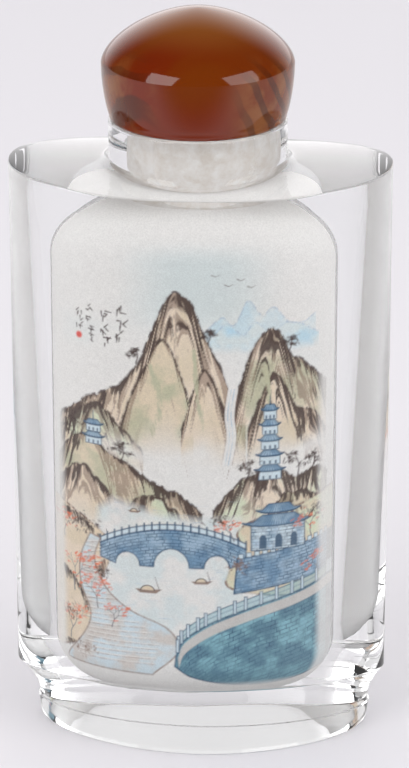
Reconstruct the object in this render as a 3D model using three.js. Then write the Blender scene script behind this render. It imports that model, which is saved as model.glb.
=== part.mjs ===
// Inside-painted snuff bottle: an oval block of clear glass with a hollow ground out
// through its short neck, and a domed agate stopper that rests on the rim.
//
// Units are millimetres and +Z is up. The origin is at the centre of the foot's flat
// underside. X runs across the broad faces, and Y runs through the thickness.
import * as THREE from 'three';

// Body: an oval block whose top and lower edge are both slightly crowned.
const BODY_HALF_WIDTH = 23.0;
const BODY_HALF_DEPTH = 13.2;
const TOP_FULLNESS = 2.22;
const BASE_FULLNESS = 1.7;
const TOP_RIDGE_Z = 72.8;
const TOP_CROWN = 1.2;
const EDGE_TIP_Z = 7.1;
const EDGE_ARCH = 1.8;
const RIM_BEVEL = 0.25;
const EDGE_ROUNDING = 0.28;

// Foot: a low oval plinth. A cove joins it to the body's lower edge.
const FOOT_X = 0.35;
const WAIST_TIP_Z = 2.3;
const WAIST_ARCH = 1.6;
const FOOT_HALF_WIDTH = 20.8;
const FOOT_HALF_DEPTH = 12.8;
const FOOT_FULLNESS = 1.8;
const FOOT_TAPER = 0.3;
const FOOT_BEVEL = 0.3;
const COVE_TURN = (25 * Math.PI) / 180;

// Neck: round, a little off the middle, with a fillet where it leaves the top face.
const NECK_X = -0.3;
const NECK_RADIUS = 10.7;
const NECK_TOP_Z = 77.9;
const NECK_FILLET = 1.3;
const NECK_BEVEL = 0.3;

// Hollow: a round bore that opens into a flask-shaped chamber. Both were ground
// a little off the middle of the block. The mouth flare is the share of the way from
// the bore's foot to the shoulder that is taken by the first, straight slope.
const BORE_RADIUS = 6.0;
const BORE_X = 0.2;
const BORE_FOOT_Z = 69.9;
const CHAMBER_X = -0.6;
const CHAMBER_HALF_WIDTH = 15.1;
const CHAMBER_HALF_DEPTH = 8.6;
const CHAMBER_FULLNESS = 2.4;
const SHOULDER_Z = 61.7;
const MOUTH_FLARE_OUT = 0.1;
const MOUTH_FLARE_DOWN = 0.09;
const CHAMBER_FLOOR_Z = 5.7;
const CHAMBER_CORNER = 6.0;
const FLOOR_CROWN = 0.6;
const FLOOR_MIDDLE_INSET = 0.9;

// Stopper: a cap with a side that leans in towards its flat underside.
const SEAT_GAP = 0.3;
const STOPPER_BASE_RADIUS = 10.65;
const STOPPER_WIDEST_RADIUS = 11.5;
const STOPPER_SIDE_HEIGHT = 6.6;
const STOPPER_DOME_HEIGHT = 6.6;
const STOPPER_SIDE_BULGE = 0.8;
const STOPPER_DOME_FULLNESS = 1.62;
const STOPPER_EDGE_ROUNDING = 0.5;

// Fineness of the faceted surfaces.
const BOTTLE_SIDES = 80;
const STOPPER_SIDES = 56;
const CURVE_STEPS = 5;
const COVE_STEPS = 3;
const SHOULDER_STEPS = 7;

const lerp = (from, to, share) => from + (to - from) * share;

// A point of a superellipse: fullness 2 is an ellipse, and more than 2 is squarer.
function ovalPoint(angle, halfWidth, halfDepth, fullness) {
  const power = 2 / fullness;
  const cos = Math.cos(angle);
  const sin = Math.sin(angle);
  return [
    halfWidth * Math.sign(cos) * Math.abs(cos) ** power,
    halfDepth * Math.sign(sin) * Math.abs(sin) ** power,
  ];
}

// A ring is a function from an angle to a point [x, y, z].
function ovalRing(halfWidth, halfDepth, fullness, height, centreX = 0) {
  return (angle) => {
    const [x, y] = ovalPoint(angle, halfWidth, halfDepth, fullness);
    return [x + centreX, y, height(x, y)];
  };
}

function roundRing(radius, z, centreX) {
  return ovalRing(radius, radius, 2, () => z, centreX);
}

// A ring part of the way from one ring to another.
function betweenRings(first, second, planShare, heightShare) {
  return (angle) => {
    const [x0, y0, z0] = first(angle);
    const [x1, y1, z1] = second(angle);
    return [lerp(x0, x1, planShare), lerp(y0, y1, planShare), lerp(z0, z1, heightShare)];
  };
}

// Rings on a round between two rings. It leaves the first ring along the height where
// steepFirst is true, and along the plan where it is false. Both ends are left out. A
// whole turn of less than a quarter meets the second ring at a crease.
function roundBetween(first, second, steepFirst, steps = CURVE_STEPS, wholeTurn = Math.PI / 2) {
  const rings = [];
  for (let step = 1; step < steps; step += 1) {
    const turn = (step / steps) * wholeTurn;
    const slow = (1 - Math.cos(turn)) / (1 - Math.cos(wholeTurn));
    const fast = Math.sin(turn) / Math.sin(wholeTurn);
    rings.push(betweenRings(first, second, steepFirst ? slow : fast, steepFirst ? fast : slow));
  }
  return rings;
}

// One closed skin through a list of rings, closed by a fan at its first and last ring.
function skinThroughRings(rings, sides) {
  const positions = [];
  const indices = [];
  rings.forEach((ring) => {
    for (let side = 0; side < sides; side += 1) {
      positions.push(...ring((side / sides) * Math.PI * 2));
    }
  });
  for (let row = 0; row + 1 < rings.length; row += 1) {
    for (let side = 0; side < sides; side += 1) {
      const next = (side + 1) % sides;
      const a = row * sides + side;
      const b = row * sides + next;
      indices.push(a, b, b + sides, a, b + sides, a + sides);
    }
  }
  const closeEnd = (row, flip) => {
    const start = row * sides;
    const centre = [0, 0, 0];
    for (let side = 0; side < sides; side += 1) {
      for (let axis = 0; axis < 3; axis += 1) {
        centre[axis] += positions[(start + side) * 3 + axis] / sides;
      }
    }
    const hub = positions.length / 3;
    positions.push(...centre);
    for (let side = 0; side < sides; side += 1) {
      const here = start + side;
      const next = start + ((side + 1) % sides);
      indices.push(hub, flip ? next : here, flip ? here : next);
    }
  };
  closeEnd(0, true);
  closeEnd(rings.length - 1, false);
  const geometry = new THREE.BufferGeometry();
  geometry.setAttribute('position', new THREE.Float32BufferAttribute(positions, 3));
  geometry.setIndex(indices);
  geometry.computeVertexNormals();
  return geometry;
}

// Height of the top face: highest along the middle, lower towards the broad faces.
const topHeight = (x, y) => TOP_RIDGE_Z - TOP_CROWN * (y / BODY_HALF_DEPTH) ** 2;

// The body's lower edge and the waist are lowest at the two ends of the oval, and rise
// towards the broad faces.
const edgeHeight = (x, y) => EDGE_TIP_Z + EDGE_ARCH * Math.abs(y / BODY_HALF_DEPTH);
const waistHeight = (x, y) => WAIST_TIP_Z + WAIST_ARCH * Math.abs(y / FOOT_HALF_DEPTH);

function footRings() {
  const width = FOOT_HALF_WIDTH - FOOT_TAPER;
  const depth = FOOT_HALF_DEPTH - FOOT_TAPER;
  return [
    ovalRing(width - FOOT_BEVEL, depth - FOOT_BEVEL, FOOT_FULLNESS, () => 0, FOOT_X),
    ovalRing(width, depth, FOOT_FULLNESS, () => FOOT_BEVEL, FOOT_X),
    ovalRing(FOOT_HALF_WIDTH, FOOT_HALF_DEPTH, FOOT_FULLNESS, waistHeight, FOOT_X),
  ];
}

function bodyRings(waist) {
  const coveTop = ovalRing(
    BODY_HALF_WIDTH - EDGE_ROUNDING,
    BODY_HALF_DEPTH - EDGE_ROUNDING,
    BASE_FULLNESS,
    (x, y) => edgeHeight(x, y) - EDGE_ROUNDING / 2,
  );
  const lowerEdge = ovalRing(
    BODY_HALF_WIDTH,
    BODY_HALF_DEPTH,
    BASE_FULLNESS,
    (x, y) => edgeHeight(x, y) + EDGE_ROUNDING,
  );
  const insetTop = (inset, drop) => ovalRing(
    BODY_HALF_WIDTH - inset,
    BODY_HALF_DEPTH - inset,
    TOP_FULLNESS,
    (x, y) => topHeight(x, y) - drop,
  );
  return [
    ...roundBetween(waist, coveTop, true, COVE_STEPS, COVE_TURN),
    coveTop,
    lowerEdge,
    insetTop(0, RIM_BEVEL),
    insetTop(RIM_BEVEL, 0),
  ];
}

// The neck leaves the top face on a fillet whose foot follows the crowned face.
function neckRings() {
  const footRadius = NECK_RADIUS + NECK_FILLET;
  const filletFoot = ovalRing(footRadius, footRadius, 2, topHeight, NECK_X);
  const filletTop = ovalRing(
    NECK_RADIUS,
    NECK_RADIUS,
    2,
    (x, y) => topHeight(x, y) + NECK_FILLET,
    NECK_X,
  );
  return [
    filletFoot,
    ...roundBetween(filletFoot, filletTop, false),
    filletTop,
    roundRing(NECK_RADIUS, NECK_TOP_Z - NECK_BEVEL, NECK_X),
    roundRing(NECK_RADIUS - NECK_BEVEL, NECK_TOP_Z, NECK_X),
  ];
}

// The bore runs down from the rim and opens into the chamber under a rounded shoulder.
function hollowRings() {
  const boreMouth = roundRing(BORE_RADIUS + NECK_BEVEL, NECK_TOP_Z, BORE_X);
  const boreTop = roundRing(BORE_RADIUS, NECK_TOP_Z - NECK_BEVEL, BORE_X);
  const boreFoot = roundRing(BORE_RADIUS, BORE_FOOT_Z, BORE_X);
  const chamber = (inset, z) => ovalRing(
    CHAMBER_HALF_WIDTH - inset,
    CHAMBER_HALF_DEPTH - inset,
    CHAMBER_FULLNESS,
    () => z,
    CHAMBER_X,
  );
  const chamberTop = chamber(0, SHOULDER_Z);
  const shoulderTop = betweenRings(
    boreFoot,
    chamberTop,
    MOUTH_FLARE_OUT,
    MOUTH_FLARE_DOWN,
  );
  const cornerTop = chamber(0, CHAMBER_FLOOR_Z + CHAMBER_CORNER);
  const cornerFoot = chamber(CHAMBER_CORNER, CHAMBER_FLOOR_Z + FLOOR_CROWN);
  return [
    boreMouth,
    boreTop,
    boreFoot,
    shoulderTop,
    ...roundBetween(shoulderTop, chamberTop, false, SHOULDER_STEPS),
    chamberTop,
    cornerTop,
    ...roundBetween(cornerTop, cornerFoot, true),
    cornerFoot,
    chamber(CHAMBER_HALF_DEPTH * FLOOR_MIDDLE_INSET, CHAMBER_FLOOR_Z),
  ];
}

function bottleGeometry() {
  const foot = footRings();
  const waist = foot[foot.length - 1];
  return skinThroughRings(
    [...foot, ...bodyRings(waist), ...neckRings(), ...hollowRings()],
    BOTTLE_SIDES,
  );
}

// Profile of the stopper from the middle of its underside to the top of its dome.
function stopperProfile() {
  const points = [new THREE.Vector2(0, 0)];
  const rounding = STOPPER_EDGE_ROUNDING;
  for (let step = 0; step <= CURVE_STEPS; step += 1) {
    const turn = (step / CURVE_STEPS) * (Math.PI / 2);
    points.push(new THREE.Vector2(
      STOPPER_BASE_RADIUS - rounding * (1 - Math.sin(turn)),
      rounding * (1 - Math.cos(turn)),
    ));
  }
  const swell = STOPPER_WIDEST_RADIUS - STOPPER_BASE_RADIUS;
  for (let step = 1; step < CURVE_STEPS; step += 1) {
    const share = step / CURVE_STEPS;
    points.push(new THREE.Vector2(
      STOPPER_BASE_RADIUS + swell * Math.sin(share * (Math.PI / 2)) ** STOPPER_SIDE_BULGE,
      lerp(rounding, STOPPER_SIDE_HEIGHT, share),
    ));
  }
  const domeSteps = CURVE_STEPS * 2;
  for (let step = 0; step < domeSteps; step += 1) {
    const turn = (step / domeSteps) * (Math.PI / 2);
    const [r, rise] = ovalPoint(
      turn,
      STOPPER_WIDEST_RADIUS,
      STOPPER_DOME_HEIGHT,
      STOPPER_DOME_FULLNESS,
    );
    points.push(new THREE.Vector2(r, STOPPER_SIDE_HEIGHT + rise));
  }
  points.push(new THREE.Vector2(0, STOPPER_SIDE_HEIGHT + STOPPER_DOME_HEIGHT));
  return points;
}

function makeBottle() {
  const glass = new THREE.MeshStandardMaterial({
    color: 0xeef2f1,
    roughness: 0.03,
    metalness: 0,
    transparent: true,
    opacity: 0.35,
  });
  const mesh = new THREE.Mesh(bottleGeometry(), glass);
  mesh.name = 'bottle';
  return mesh;
}

function makeStopper() {
  const agate = new THREE.MeshStandardMaterial({
    color: 0x9a4a14,
    roughness: 0.08,
    metalness: 0,
  });
  const mesh = new THREE.Mesh(new THREE.LatheGeometry(stopperProfile(), STOPPER_SIDES), agate);
  mesh.name = 'stopper';
  mesh.rotation.x = Math.PI / 2;
  mesh.position.set(NECK_X, 0, NECK_TOP_Z + SEAT_GAP);
  return mesh;
}

const snuffBottle = new THREE.Group();
snuffBottle.add(makeBottle(), makeStopper());

export default snuffBottle;
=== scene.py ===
# %% [markdown]
# # An inside-painted glass snuff bottle
#
# The real object is a block of clear glass, cut to an oval and polished, with a hollow
# ground out through its neck. A painter works on the ground inner wall with a bent brush,
# so the picture is seen through thick glass. A domed cap of agate rests on the neck.
#
# We keep the real order of work: the glass first, then its ground wall, then the picture
# on that wall, then the stone cap, and last the light. Blender counts in metres, so `MM`
# turns millimetres into scene units.

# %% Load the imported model
import math

import bmesh
import bpy
import numpy as np
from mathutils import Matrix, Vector


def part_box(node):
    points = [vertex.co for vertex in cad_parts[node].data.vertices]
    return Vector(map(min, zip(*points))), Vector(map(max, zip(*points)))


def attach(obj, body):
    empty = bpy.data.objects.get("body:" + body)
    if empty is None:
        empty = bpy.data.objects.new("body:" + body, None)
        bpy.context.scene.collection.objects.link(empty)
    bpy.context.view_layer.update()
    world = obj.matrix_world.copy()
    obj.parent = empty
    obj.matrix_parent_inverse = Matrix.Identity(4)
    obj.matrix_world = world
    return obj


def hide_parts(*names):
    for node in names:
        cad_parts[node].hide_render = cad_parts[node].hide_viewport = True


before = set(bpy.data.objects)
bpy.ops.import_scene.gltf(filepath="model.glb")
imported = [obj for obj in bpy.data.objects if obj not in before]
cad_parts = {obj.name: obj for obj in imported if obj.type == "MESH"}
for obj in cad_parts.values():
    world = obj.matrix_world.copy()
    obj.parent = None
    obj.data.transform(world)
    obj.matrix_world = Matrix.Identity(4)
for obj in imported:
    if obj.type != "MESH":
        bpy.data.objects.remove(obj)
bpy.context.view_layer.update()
MM = 0.001
print("pieces in the frame:", sorted(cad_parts))

# %% [markdown]
# ## The camera
#
# A small object shows best from a little above and through a long lens, which keeps its
# upright sides nearly parallel. The lens is given as a focal length in picture heights,
# so a sensor 24 mm tall makes the sum easy to follow.

# %% Camera
SENSOR_HEIGHT_MM = 24.0
FOCAL_IN_PICTURE_HEIGHTS = 4.799
CAMERA_PLACE_MM = (25.3, -420.9, 201.5)
CAMERA_DOWN_DEG = 20.475
CAMERA_TURN_DEG = 3.375

camera_data = bpy.data.cameras.new("camera")
camera_data.sensor_fit = "VERTICAL"
camera_data.sensor_height = SENSOR_HEIGHT_MM
camera_data.lens = FOCAL_IN_PICTURE_HEIGHTS * SENSOR_HEIGHT_MM
camera = bpy.data.objects.new("camera", camera_data)
camera.location = [c * MM for c in CAMERA_PLACE_MM]
camera.rotation_euler = (math.radians(90 - CAMERA_DOWN_DEG), 0, math.radians(CAMERA_TURN_DEG))
bpy.context.scene.collection.objects.link(camera)
bpy.context.scene.camera = camera
print("lens in mm:", round(camera_data.lens, 1))

# %% [markdown]
# ## Sizes that the solids already carry
#
# The solids are the master for size. Their boxes give the width and depth of the glass
# and the height of the neck, and the remaining sizes describe how the real bottle is cut.
# All of these are in millimetres.

# %% Sizes of the glass
glass_low, glass_high = [np.array(corner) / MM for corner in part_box("bottle")]
cap_low, cap_high = [np.array(corner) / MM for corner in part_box("stopper")]

HALF_WIDTH = glass_high[0]
HALF_DEPTH = glass_high[1]
NECK_TOP = glass_high[2]
NECK_X = (cap_low[0] + cap_high[0]) / 2
CAP_RADIUS = (cap_high[0] - cap_low[0]) / 2

TOP_FULLNESS = 2.22
BASE_FULLNESS = 1.7
TOP_RIDGE = 72.8
TOP_CROWN = 1.2
EDGE_TIP = 7.1
EDGE_ARCH = 1.8
WAIST_TIP = 2.3
WAIST_ARCH = 1.6
FOOT_X = 0.35
FOOT_HALF_WIDTH = 20.8
FOOT_HALF_DEPTH = 12.8
FOOT_FULLNESS = 1.8
FOOT_TAPER = 0.3
NECK_RADIUS = 10.7
NECK_FILLET = 1.3
BORE_X = 0.2
BORE_RADIUS = 6.0
BORE_FOOT = 69.9
CHAMBER_X = -0.6
CHAMBER_HALF_WIDTH = 15.1
CHAMBER_HALF_DEPTH = 8.6
CHAMBER_FULLNESS = 2.4
SHOULDER = 61.7
FLOOR = 5.7
FLOOR_CROWN = 0.6
CHAMBER_CORNER = 6.0
print("glass in mm:", glass_low.round(2), glass_high.round(2))
print("cap radius in mm:", round(float(CAP_RADIUS), 2))

# %% [markdown]
# ## Working helpers
#
# An operator acts on everything that is selected, so each piece starts by clearing the
# selection, and `take_primitive` names the new primitive.

# %% Helpers for selecting and finishing
def clear_selection():
    """Leave nothing selected, in object mode."""
    if bpy.context.object and bpy.context.object.mode != "OBJECT":
        bpy.ops.object.mode_set(mode="OBJECT")
    bpy.ops.object.select_all(action="DESELECT")


def take_primitive(name):
    """Name the primitive that was just added, and return it."""
    piece = bpy.context.object
    piece.name = name
    piece.data.name = name
    return piece


def report(piece):
    """Print how big and how fine a piece is."""
    corners = np.array([v.co for v in piece.data.vertices]) / MM
    faces = sum(len(p.vertices) - 2 for p in piece.data.polygons)
    print(piece.name, "triangles:", faces, "mm:", corners.min(0).round(2), corners.max(0).round(2))


def keep_smooth(piece, angle_deg):
    """Shade smooth, but keep edges sharper than the angle crisp."""
    clear_selection()
    piece.select_set(True)
    bpy.context.view_layer.objects.active = piece
    bpy.ops.object.shade_smooth_by_angle(angle=math.radians(angle_deg))


# %% [markdown]
# ## Ovals
#
# The plan of the body, the foot and the chamber is a superellipse: an ellipse with a
# `fullness` that makes it more pointed (below 2) or squarer (above 2). The points are
# spread evenly by distance, because evenly sized faces bend light evenly.

# %% Oval outlines
FINE_STEPS = 4001


def oval(sides, half_width, half_depth, fullness, centre_x=0.0):
    """Points of an oval, evenly spaced along it, starting at +X and turning to +Y."""
    angle = np.linspace(0, 2 * math.pi, FINE_STEPS)
    cos, sin = np.cos(angle), np.sin(angle)
    x = half_width * np.sign(cos) * np.abs(cos) ** (2 / fullness)
    y = half_depth * np.sign(sin) * np.abs(sin) ** (2 / fullness)
    walked = np.concatenate([[0], np.cumsum(np.hypot(np.diff(x), np.diff(y)))])
    stops = np.linspace(0, walked[-1], sides + 1)[:-1]
    return np.interp(stops, walked, x) + centre_x, np.interp(stops, walked, y)


def ring(plan, height):
    """A ring of points from a plan and a height, which is a number or a function of x, y."""
    x, y = plan
    z = height(x, y) if callable(height) else np.full_like(x, height)
    return np.stack([x, y, z], 1)


def between(first, second, plan_share, height_share):
    """A ring part of the way from one ring to another."""
    mixed = first + (second - first) * plan_share
    mixed[:, 2] = first[:, 2] + (second[:, 2] - first[:, 2]) * height_share
    return mixed


def quarter_round(first, second, steep_first, steps, whole_turn=math.pi / 2):
    """Rings on a round between two rings, with both ends left out.

    A whole turn of less than a quarter stops short, so the round meets the second ring
    at a crease.
    """
    rings = []
    for step in range(1, steps):
        turn = step / steps * whole_turn
        slow = (1 - math.cos(turn)) / (1 - math.cos(whole_turn))
        fast = math.sin(turn) / math.sin(whole_turn)
        shares = (slow, fast) if steep_first else (fast, slow)
        rings.append(between(first, second, *shares))
    return rings


def straight(first, second, steps):
    """Rings on a straight line between two rings, with both ends left out."""
    return [between(first, second, s / steps, s / steps) for s in range(1, steps)]


# %% [markdown]
# ## The glass
#
# The block could be cut with booleans, but glass shows every dent in a surface, and a
# boolean leaves uneven faces. Here one ring is raised step by step with *extrude*, the way
# a potter pulls up a wall: foot, rounded underside, side, top face, neck, and then down
# again inside for the bore and the chamber. Each new ring is set to its own oval.
#
# The `_STEPS` say into how many steps each stretch is cut: many where the glass curves,
# few where it runs straight.

# %% Sizes of the cut edges
GLASS_SIDES = 224
EDGE_STEPS = 4
FOOT_STEPS = 4
COVE_STEPS = 14
SIDE_STEPS = 30
TOP_STEPS = 12
FILLET_STEPS = 8
NECK_STEPS = 4
COVE_TURN = math.radians(25)
BEVEL = 0.22
EDGE_ROUNDING = 0.28
LEDGE = 0.2
print("sides of each ring:", GLASS_SIDES)


# %% Heights that follow the plan
def top_height(x, y):
    """Height of the crowned top face."""
    return TOP_RIDGE - TOP_CROWN * (y / HALF_DEPTH) ** 2


def edge_height(x, y):
    """Height of the lower edge, which rises towards the broad faces."""
    return EDGE_TIP + EDGE_ARCH * np.abs(y / HALF_DEPTH)


def waist_height(x, y):
    """Height of the waist between body and foot."""
    return WAIST_TIP + WAIST_ARCH * np.abs(y / FOOT_HALF_DEPTH)


print("top face over the broad sides in mm:", round(float(top_height(0, HALF_DEPTH)), 2))


# %% Rings of the outside
def outside_rings():
    """Rings from the rim of the underside up to the mouth of the neck."""
    n = GLASS_SIDES
    foot_w, foot_d = FOOT_HALF_WIDTH - FOOT_TAPER, FOOT_HALF_DEPTH - FOOT_TAPER
    under = ring(oval(n, foot_w - BEVEL, foot_d - BEVEL, FOOT_FULLNESS, FOOT_X), 0.0)
    foot = ring(oval(n, foot_w, foot_d, FOOT_FULLNESS, FOOT_X), BEVEL)
    waist_plan = oval(n, FOOT_HALF_WIDTH, FOOT_HALF_DEPTH, FOOT_FULLNESS, FOOT_X)
    waist = ring(waist_plan, waist_height)
    inner_w, inner_d = FOOT_HALF_WIDTH - LEDGE, FOOT_HALF_DEPTH - LEDGE
    ledge_plan = oval(n, inner_w, inner_d, FOOT_FULLNESS, FOOT_X)
    ledge = ring(ledge_plan, lambda x, y: waist_height(x, y) + LEDGE / 2)
    drawn_in = oval(n, HALF_WIDTH - EDGE_ROUNDING, HALF_DEPTH - EDGE_ROUNDING, BASE_FULLNESS)
    cove_top = ring(drawn_in, lambda x, y: edge_height(x, y) - EDGE_ROUNDING / 2)
    edge_plan = oval(n, HALF_WIDTH, HALF_DEPTH, BASE_FULLNESS)
    edge = ring(edge_plan, lambda x, y: edge_height(x, y) + EDGE_ROUNDING)
    rim_plan = oval(n, HALF_WIDTH, HALF_DEPTH, TOP_FULLNESS)
    rim = ring(rim_plan, lambda x, y: top_height(x, y) - BEVEL)
    face_plan = oval(n, HALF_WIDTH - BEVEL, HALF_DEPTH - BEVEL, TOP_FULLNESS)
    face = ring(face_plan, top_height)
    round_plan = oval(n, NECK_RADIUS + NECK_FILLET, NECK_RADIUS + NECK_FILLET, 2, NECK_X)
    fillet_foot = ring(round_plan, top_height)
    neck_plan = oval(n, NECK_RADIUS, NECK_RADIUS, 2, NECK_X)
    fillet_top = ring(neck_plan, lambda x, y: top_height(x, y) + NECK_FILLET)
    neck = ring(neck_plan, NECK_TOP - BEVEL)
    lip = ring(oval(n, NECK_RADIUS - BEVEL, NECK_RADIUS - BEVEL, 2, NECK_X), NECK_TOP)
    top_face = []
    for step in range(1, TOP_STEPS):
        crowned = between(face, fillet_foot, step / TOP_STEPS, 0)
        crowned[:, 2] = top_height(crowned[:, 0], crowned[:, 1])
        top_face.append(crowned)
    return [
        under, *quarter_round(under, foot, False, EDGE_STEPS), foot,
        *straight(foot, waist, FOOT_STEPS), waist, ledge,
        *quarter_round(ledge, cove_top, True, COVE_STEPS, COVE_TURN), cove_top,
        *quarter_round(cove_top, edge, False, EDGE_STEPS), edge,
        *straight(edge, rim, SIDE_STEPS), rim,
        *quarter_round(rim, face, True, EDGE_STEPS), face,
        *top_face, fillet_foot,
        *quarter_round(fillet_foot, fillet_top, False, FILLET_STEPS), fillet_top,
        *straight(fillet_top, neck, NECK_STEPS), neck,
        *quarter_round(neck, lip, True, EDGE_STEPS), lip,
    ]


# %% [markdown]
# The inside follows: a straight bore, a sloping shoulder, the upright wall of the
# chamber, and a rounded floor. `grow` moves the wall outwards a little, which the
# painted sheets need later, because they lie just inside the glass. `SLOPE_SHARES` says
# how far out and how far down the slope starts, between the bore and the shoulder.

# %% Rings of the hollow
SLOPE_SHARES = (0.1, 0.09)
MIDDLE_INSET = CHAMBER_HALF_DEPTH * 0.95
MOUTH_STEPS, BORE_STEPS, BORE_FOOT_STEPS, SLOPE_STEPS = 3, 6, 5, 18
WALL_STEPS, CORNER_STEPS, FLOOR_STEPS = 16, 12, 4


def chamber_ring(sides, inset, height, grow=0.0):
    """A ring of the chamber, drawn in by an inset."""
    width = CHAMBER_HALF_WIDTH - inset + grow
    depth = CHAMBER_HALF_DEPTH - inset + grow
    return ring(oval(sides, width, depth, CHAMBER_FULLNESS, CHAMBER_X), height)


def hollow_rings():
    """Rings from the mouth of the bore down to the middle of the chamber's floor."""
    n = GLASS_SIDES
    mouth_radius = BORE_RADIUS + BEVEL
    mouth = ring(oval(n, mouth_radius, mouth_radius, 2, BORE_X), NECK_TOP)
    bore_plan = oval(n, BORE_RADIUS, BORE_RADIUS, 2, BORE_X)
    bore_top = ring(bore_plan, NECK_TOP - BEVEL)
    bore_foot = ring(bore_plan, BORE_FOOT)
    shoulder = chamber_ring(n, 0, SHOULDER)
    slope = between(bore_foot, shoulder, *SLOPE_SHARES)
    corner_top = chamber_ring(n, 0, FLOOR + CHAMBER_CORNER)
    corner_foot = chamber_ring(n, CHAMBER_CORNER, FLOOR + FLOOR_CROWN)
    middle = chamber_ring(n, MIDDLE_INSET, FLOOR)
    return [
        mouth, *quarter_round(mouth, bore_top, False, MOUTH_STEPS), bore_top,
        *straight(bore_top, bore_foot, BORE_STEPS), bore_foot,
        *quarter_round(bore_foot, slope, True, BORE_FOOT_STEPS), slope,
        *quarter_round(slope, shoulder, False, SLOPE_STEPS), shoulder,
        *straight(shoulder, corner_top, WALL_STEPS), corner_top,
        *quarter_round(corner_top, corner_foot, True, CORNER_STEPS), corner_foot,
        *straight(corner_foot, middle, FLOOR_STEPS), middle,
    ]


print("rings outside:", len(outside_rings()), "rings inside:", len(hollow_rings()))

# %% [markdown]
# A circle primitive is the first ring. Each `extrude_edges_move` adds a wall of faces
# with no height yet, and the new ring is then set in place. At both ends the open ring is
# filled with a fan, so the skin is closed.

# %% Raise a skin from rings
def set_ring(mesh, order, points):
    """Put a ring of vertices, given by their numbers in order, in place."""
    mesh.verts.ensure_lookup_table()
    for number, place in zip(order, points):
        mesh.verts[number].co = place * MM


def raised_from(mesh, order):
    """The numbers of the new vertices that an extrude raised from an ordered ring."""
    mesh.verts.index_update()
    mesh.verts.ensure_lookup_table()
    raised = []
    for number in order:
        vert = mesh.verts[number]
        partners = [e.other_vert(vert) for e in vert.link_edges if e.other_vert(vert).select]
        raised.append(partners[0].index)
    return raised


def close_with_fan(mesh, order):
    """Close a ring of vertices with triangles to its middle."""
    mesh.verts.ensure_lookup_table()
    loop = [mesh.verts[number] for number in order]
    hub = mesh.verts.new(sum((vert.co for vert in loop), Vector()) / len(loop))
    for i, vert in enumerate(loop):
        mesh.faces.new((vert, loop[(i + 1) % len(loop)], hub))


def raise_skin(name, rings, close_ends):
    """Extrude a circle through a list of rings and return the finished object."""
    clear_selection()
    bpy.ops.mesh.primitive_circle_add(vertices=len(rings[0]), radius=MM)
    piece = take_primitive(name)
    bpy.ops.object.mode_set(mode="EDIT")
    bpy.ops.mesh.select_all(action="SELECT")
    first = order = list(range(len(rings[0])))
    set_ring(bmesh.from_edit_mesh(piece.data), order, rings[0])
    for points in rings[1:]:
        bpy.ops.mesh.extrude_edges_move()
        mesh = bmesh.from_edit_mesh(piece.data)
        order = raised_from(mesh, order)
        set_ring(mesh, order, points)
    mesh = bmesh.from_edit_mesh(piece.data)
    if close_ends:
        close_with_fan(mesh, first)
        close_with_fan(mesh, order)
    bmesh.update_edit_mesh(piece.data)
    bpy.ops.mesh.select_all(action="SELECT")
    bpy.ops.mesh.normals_make_consistent(inside=False)
    bpy.ops.object.mode_set(mode="OBJECT")
    return piece


# %% [markdown]
# The outside and the inside are one list of rings, so the glass is one closed skin with
# true walls. The fans at both ends are its underside and the middle of the hollow's floor.

# %% Make the glass
all_rings = outside_rings() + hollow_rings()
glass = raise_skin("glass_bottle", all_rings, close_ends=True)
keep_smooth(glass, angle_deg=40)
report(glass)

# %% [markdown]
# ## Clear glass
#
# Glass needs very little shading work: full transmission, no roughness, and the index of
# refraction of crystal glass. A trace of green in the colour is what thick clear glass
# has. The values sit straight on the shader.

# %% Clear glass
GLASS_IOR = 1.5
CLEAR_TINT = (0.985, 0.995, 0.99, 1)


def new_material(name):
    """An empty node material with its Principled shader."""
    material = bpy.data.materials.new(name)
    material.use_nodes = True
    return material, material.node_tree, material.node_tree.nodes["Principled BSDF"]


clear_glass, _, shader = new_material("clear_glass")
shader.inputs["Base Color"].default_value = CLEAR_TINT
shader.inputs["Roughness"].default_value = 0.0
shader.inputs["IOR"].default_value = GLASS_IOR
shader.inputs["Transmission Weight"].default_value = 1.0
glass.data.materials.append(clear_glass)
print("glass index of refraction:", GLASS_IOR)

# %% [markdown]
# ## Ground wall of the hollow
#
# The wall of the hollow is ground with wet sand so that paint will hold, which makes it
# white and dull. The same glass with a high roughness does that: light goes through, but
# is scattered on the way. In the neck the grinding is coarser and a little yellowed, so
# that part also throws light back. Its mottling is a noise on the object's coordinates.
# The two ground finishes go on the faces of the hollow only, picked out by the order in
# which the rings were made and by their height.

# %% Ground glass
GROUND_TINT = (0.99, 0.99, 0.985, 1)

ground_glass, _, shader = new_material("ground_glass")
shader.inputs["Base Color"].default_value = GROUND_TINT
shader.inputs["Roughness"].default_value = 1.0
shader.inputs["IOR"].default_value = GLASS_IOR
shader.inputs["Transmission Weight"].default_value = 1.0
glass.data.materials.append(ground_glass)
print("ground glass lets through:", shader.inputs["Transmission Weight"].default_value)

# %% Ground glass of the neck
GRIT_SCALE = 700.0
GRIT_DARK, GRIT_LIGHT = (0.80, 0.745, 0.68, 1), (0.98, 0.965, 0.94, 1)
NECK_LETS_THROUGH = 0.25

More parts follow.
